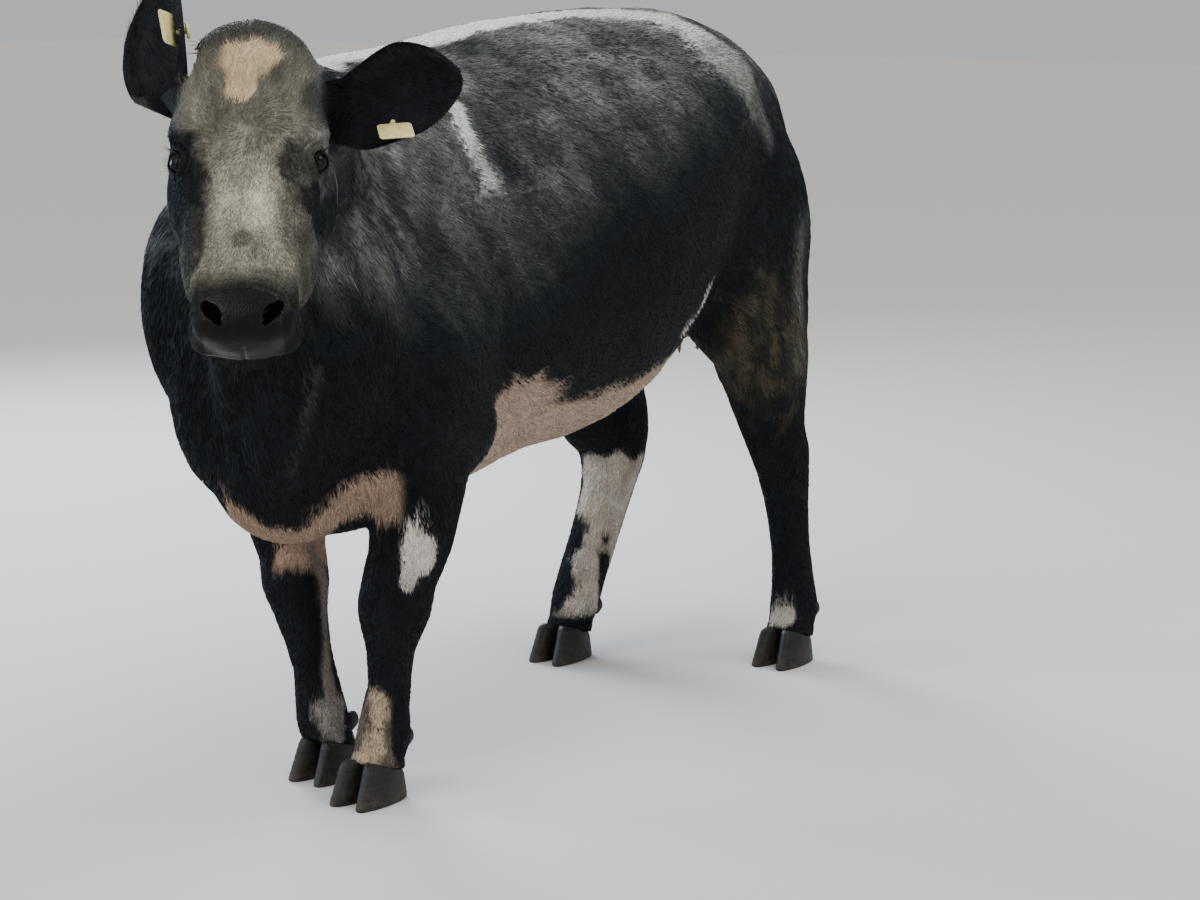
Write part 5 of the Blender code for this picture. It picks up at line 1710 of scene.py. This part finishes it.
def claw(leg, side):
    """One horn claw: ringed wall, rounded edges and a flat sole."""
    foot = np.array((*FEET[leg], 0.0)) + SHIFT
    spin = CLAW_SPLAY * side
    rings = []
    for share, broad, toe, heel in eased(CLAW_LEVELS, 5):
        ring = []
        ripple = 1 + 0.006 * math.sin(share * 46) * ramp(share, 0.08, 0.2)
        for turn in turns(40):
            outward, forward = math.cos(turn), math.sin(turn)
            x = CLAW_WIDTH * broad * (0.5 + 0.5 * signed_power(outward, 0.8))
            if forward > 0:
                y = -CLAW_TOE * toe * forward**0.9
                x -= CLAW_WIDTH * 0.22 * forward * forward * max(outward, 0)
            else:
                y = CLAW_HEEL * heel * abs(forward) ** 0.8
            x = (x * ripple + 0.0018) * side
            y *= ripple
            behind = x * math.sin(spin) + y * math.cos(spin)
            top = CORONET_HEIGHT - behind * math.tan(CORONET_SLOPE)
            across = x * math.cos(spin) - y * math.sin(spin)
            ring.append((foot[0] + across, foot[1] + behind, max(share, 0) * top))
        rings.append(ring)
    return lofted(f"hoof_{leg}_{'left' if side > 0 else 'right'}", rings, "fan")


def dewclaw(node):
    """A smooth, slightly pointed horn nub in the CAD one's place."""
    low, high, middle = box_of(node)
    bm = bmesh.new()
    bmesh.ops.create_icosphere(bm, subdivisions=4, radius=1)
    for vert in bm.verts:
        place = np.array(vert.co)
        place[:2] *= 1 - 0.30 * ramp(-place[2], 0.1, 1.0)
        ridge = 1 + 0.02 * math.sin(place[2] * 18)
        vert.co = Vector(middle + place * (high - low) / 2 * ridge)
    return bmesh_object(node.replace("dewclaw", "dewhorn"), bm)


# Ear tags

TAG_HALF_LONG = 0.0270
TAG_HALF_HIGH = 0.0205
TAG_THICK = 0.0019
TAG_CORNER = 0.006
STUD_PROFILE = [
    # along the stud from the button's middle, radius
    (-0.0026, 0.0), (-0.0026, 0.010), (-0.0018, 0.0122), (0.0012, 0.0128),
    (0.0022, 0.0118), (0.0026, 0.0050), (0.016, 0.0036), (0.018, 0.0),
]


def tag_plate(side, word):
    """A bare, slightly curved plate with round corners, on a stud."""
    _, length, width, faces = ear_frame(side)
    middle = box_of("ear_tag_" + word)[2]
    normal = unit(width * 0.93 + faces * 0.37)
    up = unit(np.cross(normal, length))
    normal = np.cross(length, up)
    outline = []
    for right, above, start in ((1, 1, 0), (-1, 1, 90), (-1, -1, 180), (1, -1, 270)):
        for k in range(6):
            turn = math.radians(start + 18 * k)
            level = right * (TAG_HALF_LONG - TAG_CORNER) + TAG_CORNER * math.cos(turn)
            outline.append((level, above * (TAG_HALF_HIGH - TAG_CORNER) + TAG_CORNER * math.sin(turn)))
    rings = []
    for lift, inset in ((-0.5, 0.0006), (-0.3, 0.0), (0.3, 0.0), (0.5, 0.0006)):
        shrink = 1 - inset / TAG_HALF_HIGH
        ring = []
        for level, rise in outline:
            bow = 0.0014 * (1 - (level / TAG_HALF_LONG) ** 2)
            flat = middle + (length * level + up * rise) * shrink
            ring.append(flat + normal * (TAG_THICK * lift + bow))
        rings.append(ring)
    return lofted("tag_plate_" + word, rings, "fan")


def tag_button(side, word):
    """The round button behind the ear, with the stud that runs through it to the plate."""
    _, length, width, faces = ear_frame(side)
    middle = box_of("ear_button_" + word)[2]
    axis = unit(width * 0.603 + faces * 0.798)
    right = unit(np.cross(axis, length))
    up = np.cross(axis, right)
    rings = []
    for reach, radius in STUD_PROFILE:
        ways = [right * math.cos(turn) + up * math.sin(turn) for turn in turns(28)]
        rings.append([middle + axis * reach + way * radius for way in ways])
    return lofted("tag_stud_" + word, rings, "point")


# Floor, light and camera


def stage():
    """A plain pale floor."""
    bm = bmesh.new()
    bmesh.ops.create_grid(bm, x_segments=1, y_segments=1, size=28)
    floor = bmesh_object("studio_floor", bm)
    made, _, _ = new_material("studio_floor", Roughness=0.85, Base_Color=(0.62, 0.61, 0.59, 1))
    floor.data.materials.append(made)


AREA_LIGHTS = [
    # name, place, target, size, power, colour
    ("fill", (4.6, -1.6, 2.4), (0, 0, 0.8), 3.2, 60, (0.95, 0.97, 1.0)),
    ("rim", (-3.6, 2.2, 2.8), (0, -0.2, 0.9), 2.2, 210, (0.78, 0.87, 1.0)),
    ("side", (-4.4, -1.6, 1.9), (0, -0.4, 0.9), 1.6, 120, (0.55, 0.76, 1.0)),
    ("top", (1.2, 0.8, 4.4), (0, 0.1, 1.2), 2.6, 110, (0.93, 0.97, 1.0)),
]


def add_light(name, kind, place, target, power, colour, **settings):
    data = bpy.data.lights.new(name, kind)
    data.energy = power
    data.color = colour
    for key, value in settings.items():
        setattr(data, key, value)
    lamp = new_object(name, data)
    lamp.location = place
    lamp.rotation_euler = (Vector(target) - Vector(place)).to_track_quat("-Z", "Y").to_euler()


def lights():
    """A soft sun from the front, four large soft lamps and a pale surrounding."""
    softness = math.radians(45)
    add_light("soft_key", "SUN", (-0.6, -4.2, 4.6), (0, 0, 0.8), 1.9, (1.0, 0.98, 0.95), angle=softness)
    for name, place, target, size, power, colour in AREA_LIGHTS:
        add_light(name, "AREA", place, target, power, colour, shape="DISK", size=size)
    world = bpy.data.worlds.new("studio")
    bpy.context.scene.world = world
    world.use_nodes = True
    backdrop = world.node_tree.nodes["Background"]
    set_inputs(world.node_tree, backdrop, Color=(0.84, 0.86, 0.87, 1), Strength=0.63)


CAMERA_PLACE = (2.953, -3.538, 1.46)
CAMERA_TURN = math.radians(34.5)
CAMERA_DIP = math.atan(505 / 2700)
CAMERA_LENS = 81


def camera():
    """The photo's view."""
    data = bpy.data.cameras.new("photo_view")
    data.sensor_width = 36
    data.lens = CAMERA_LENS
    data.clip_end = 60
    eye = new_object("photo_view", data)
    eye.location = Vector(np.array(CAMERA_PLACE) + SHIFT)
    level = math.cos(CAMERA_DIP)
    ahead = (-math.sin(CAMERA_TURN) * level, math.cos(CAMERA_TURN) * level, -math.sin(CAMERA_DIP))
    eye.rotation_euler = Vector(ahead).to_track_quat("-Z", "Y").to_euler()
    bpy.context.scene.camera = eye


def finished(piece, slot, *nodes):
    """Rides the piece on the one body and hides the CAD nodes it stands for. The slot is not used."""
    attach(piece, "root")
    if nodes:
        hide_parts(*nodes)


def dress(obj, material):
    obj.data.materials.clear()
    obj.data.materials.append(material)
    return obj


def main():
    """Builds every piece, in the order of the random draws, and the studio."""
    streaks = streak_group()
    hide, hair = hide_material(streaks), coat_material(streaks)
    long_hair = long_hair_material(streaks, "long_hair", (0.045, 0.041, 0.038))
    dark_hair = long_hair_material(streaks, "lash_hair", (0.014, 0.013, 0.013))
    horn = horn_material()
    eye_look, tag_look = eye_material(), tag_material()
    skin = dress(build_skin(), hide)
    unwrap_skin(skin)
    pieces = coat(skin, hair, TUFTS)
    skin.data.uv_layers.remove(skin.data.uv_layers[0])
    finished(skin, "coat", *FLESH, "ear_left", "ear_right")
    for piece in pieces:
        finished(piece, "coat")
    for side, word in SIDES:
        finished(dress(eyeball(side), eye_look), "eye", "eye_" + word)
        finished(dress(tag_plate(side, word), tag_look), "tag", "ear_tag_" + word)
        finished(dress(tag_button(side, word), tag_look), "tag", "ear_button_" + word)
    for leg in FEET:
        for side, word in SIDES:
            finished(dress(claw(leg, side), horn), "horn", f"claw_{leg}_{word}")
            nub = f"dewclaw_{leg}_{word}"
            finished(dress(dewclaw(nub), horn), "horn", nub)
    maker = strand_tree()
    tree = BVHTree.FromObject(skin, bpy.context.evaluated_depsgraph_get())
    for name, routes, thick, look in (
        ("lashes", lash_routes(), 0.00030, dark_hair),
        ("whiskers", whisker_routes(tree), 0.00030, long_hair),
        ("ear_fringe", ear_fringe_routes(), 0.00040, dark_hair),
    ):
        finished(strands(name, routes, thick, maker, look), "tail_hair")
    routes = switch_routes()
    thick = CHANCE.uniform(0.0007, 0.0013, len(routes))
    switch = strands("switch_hair", routes, thick, maker, long_hair)
    box_bake_map(switch, "tail_switch")
    finished(switch, "tail_hair", "tail_switch")
    stage()
    lights()
    camera()


main()
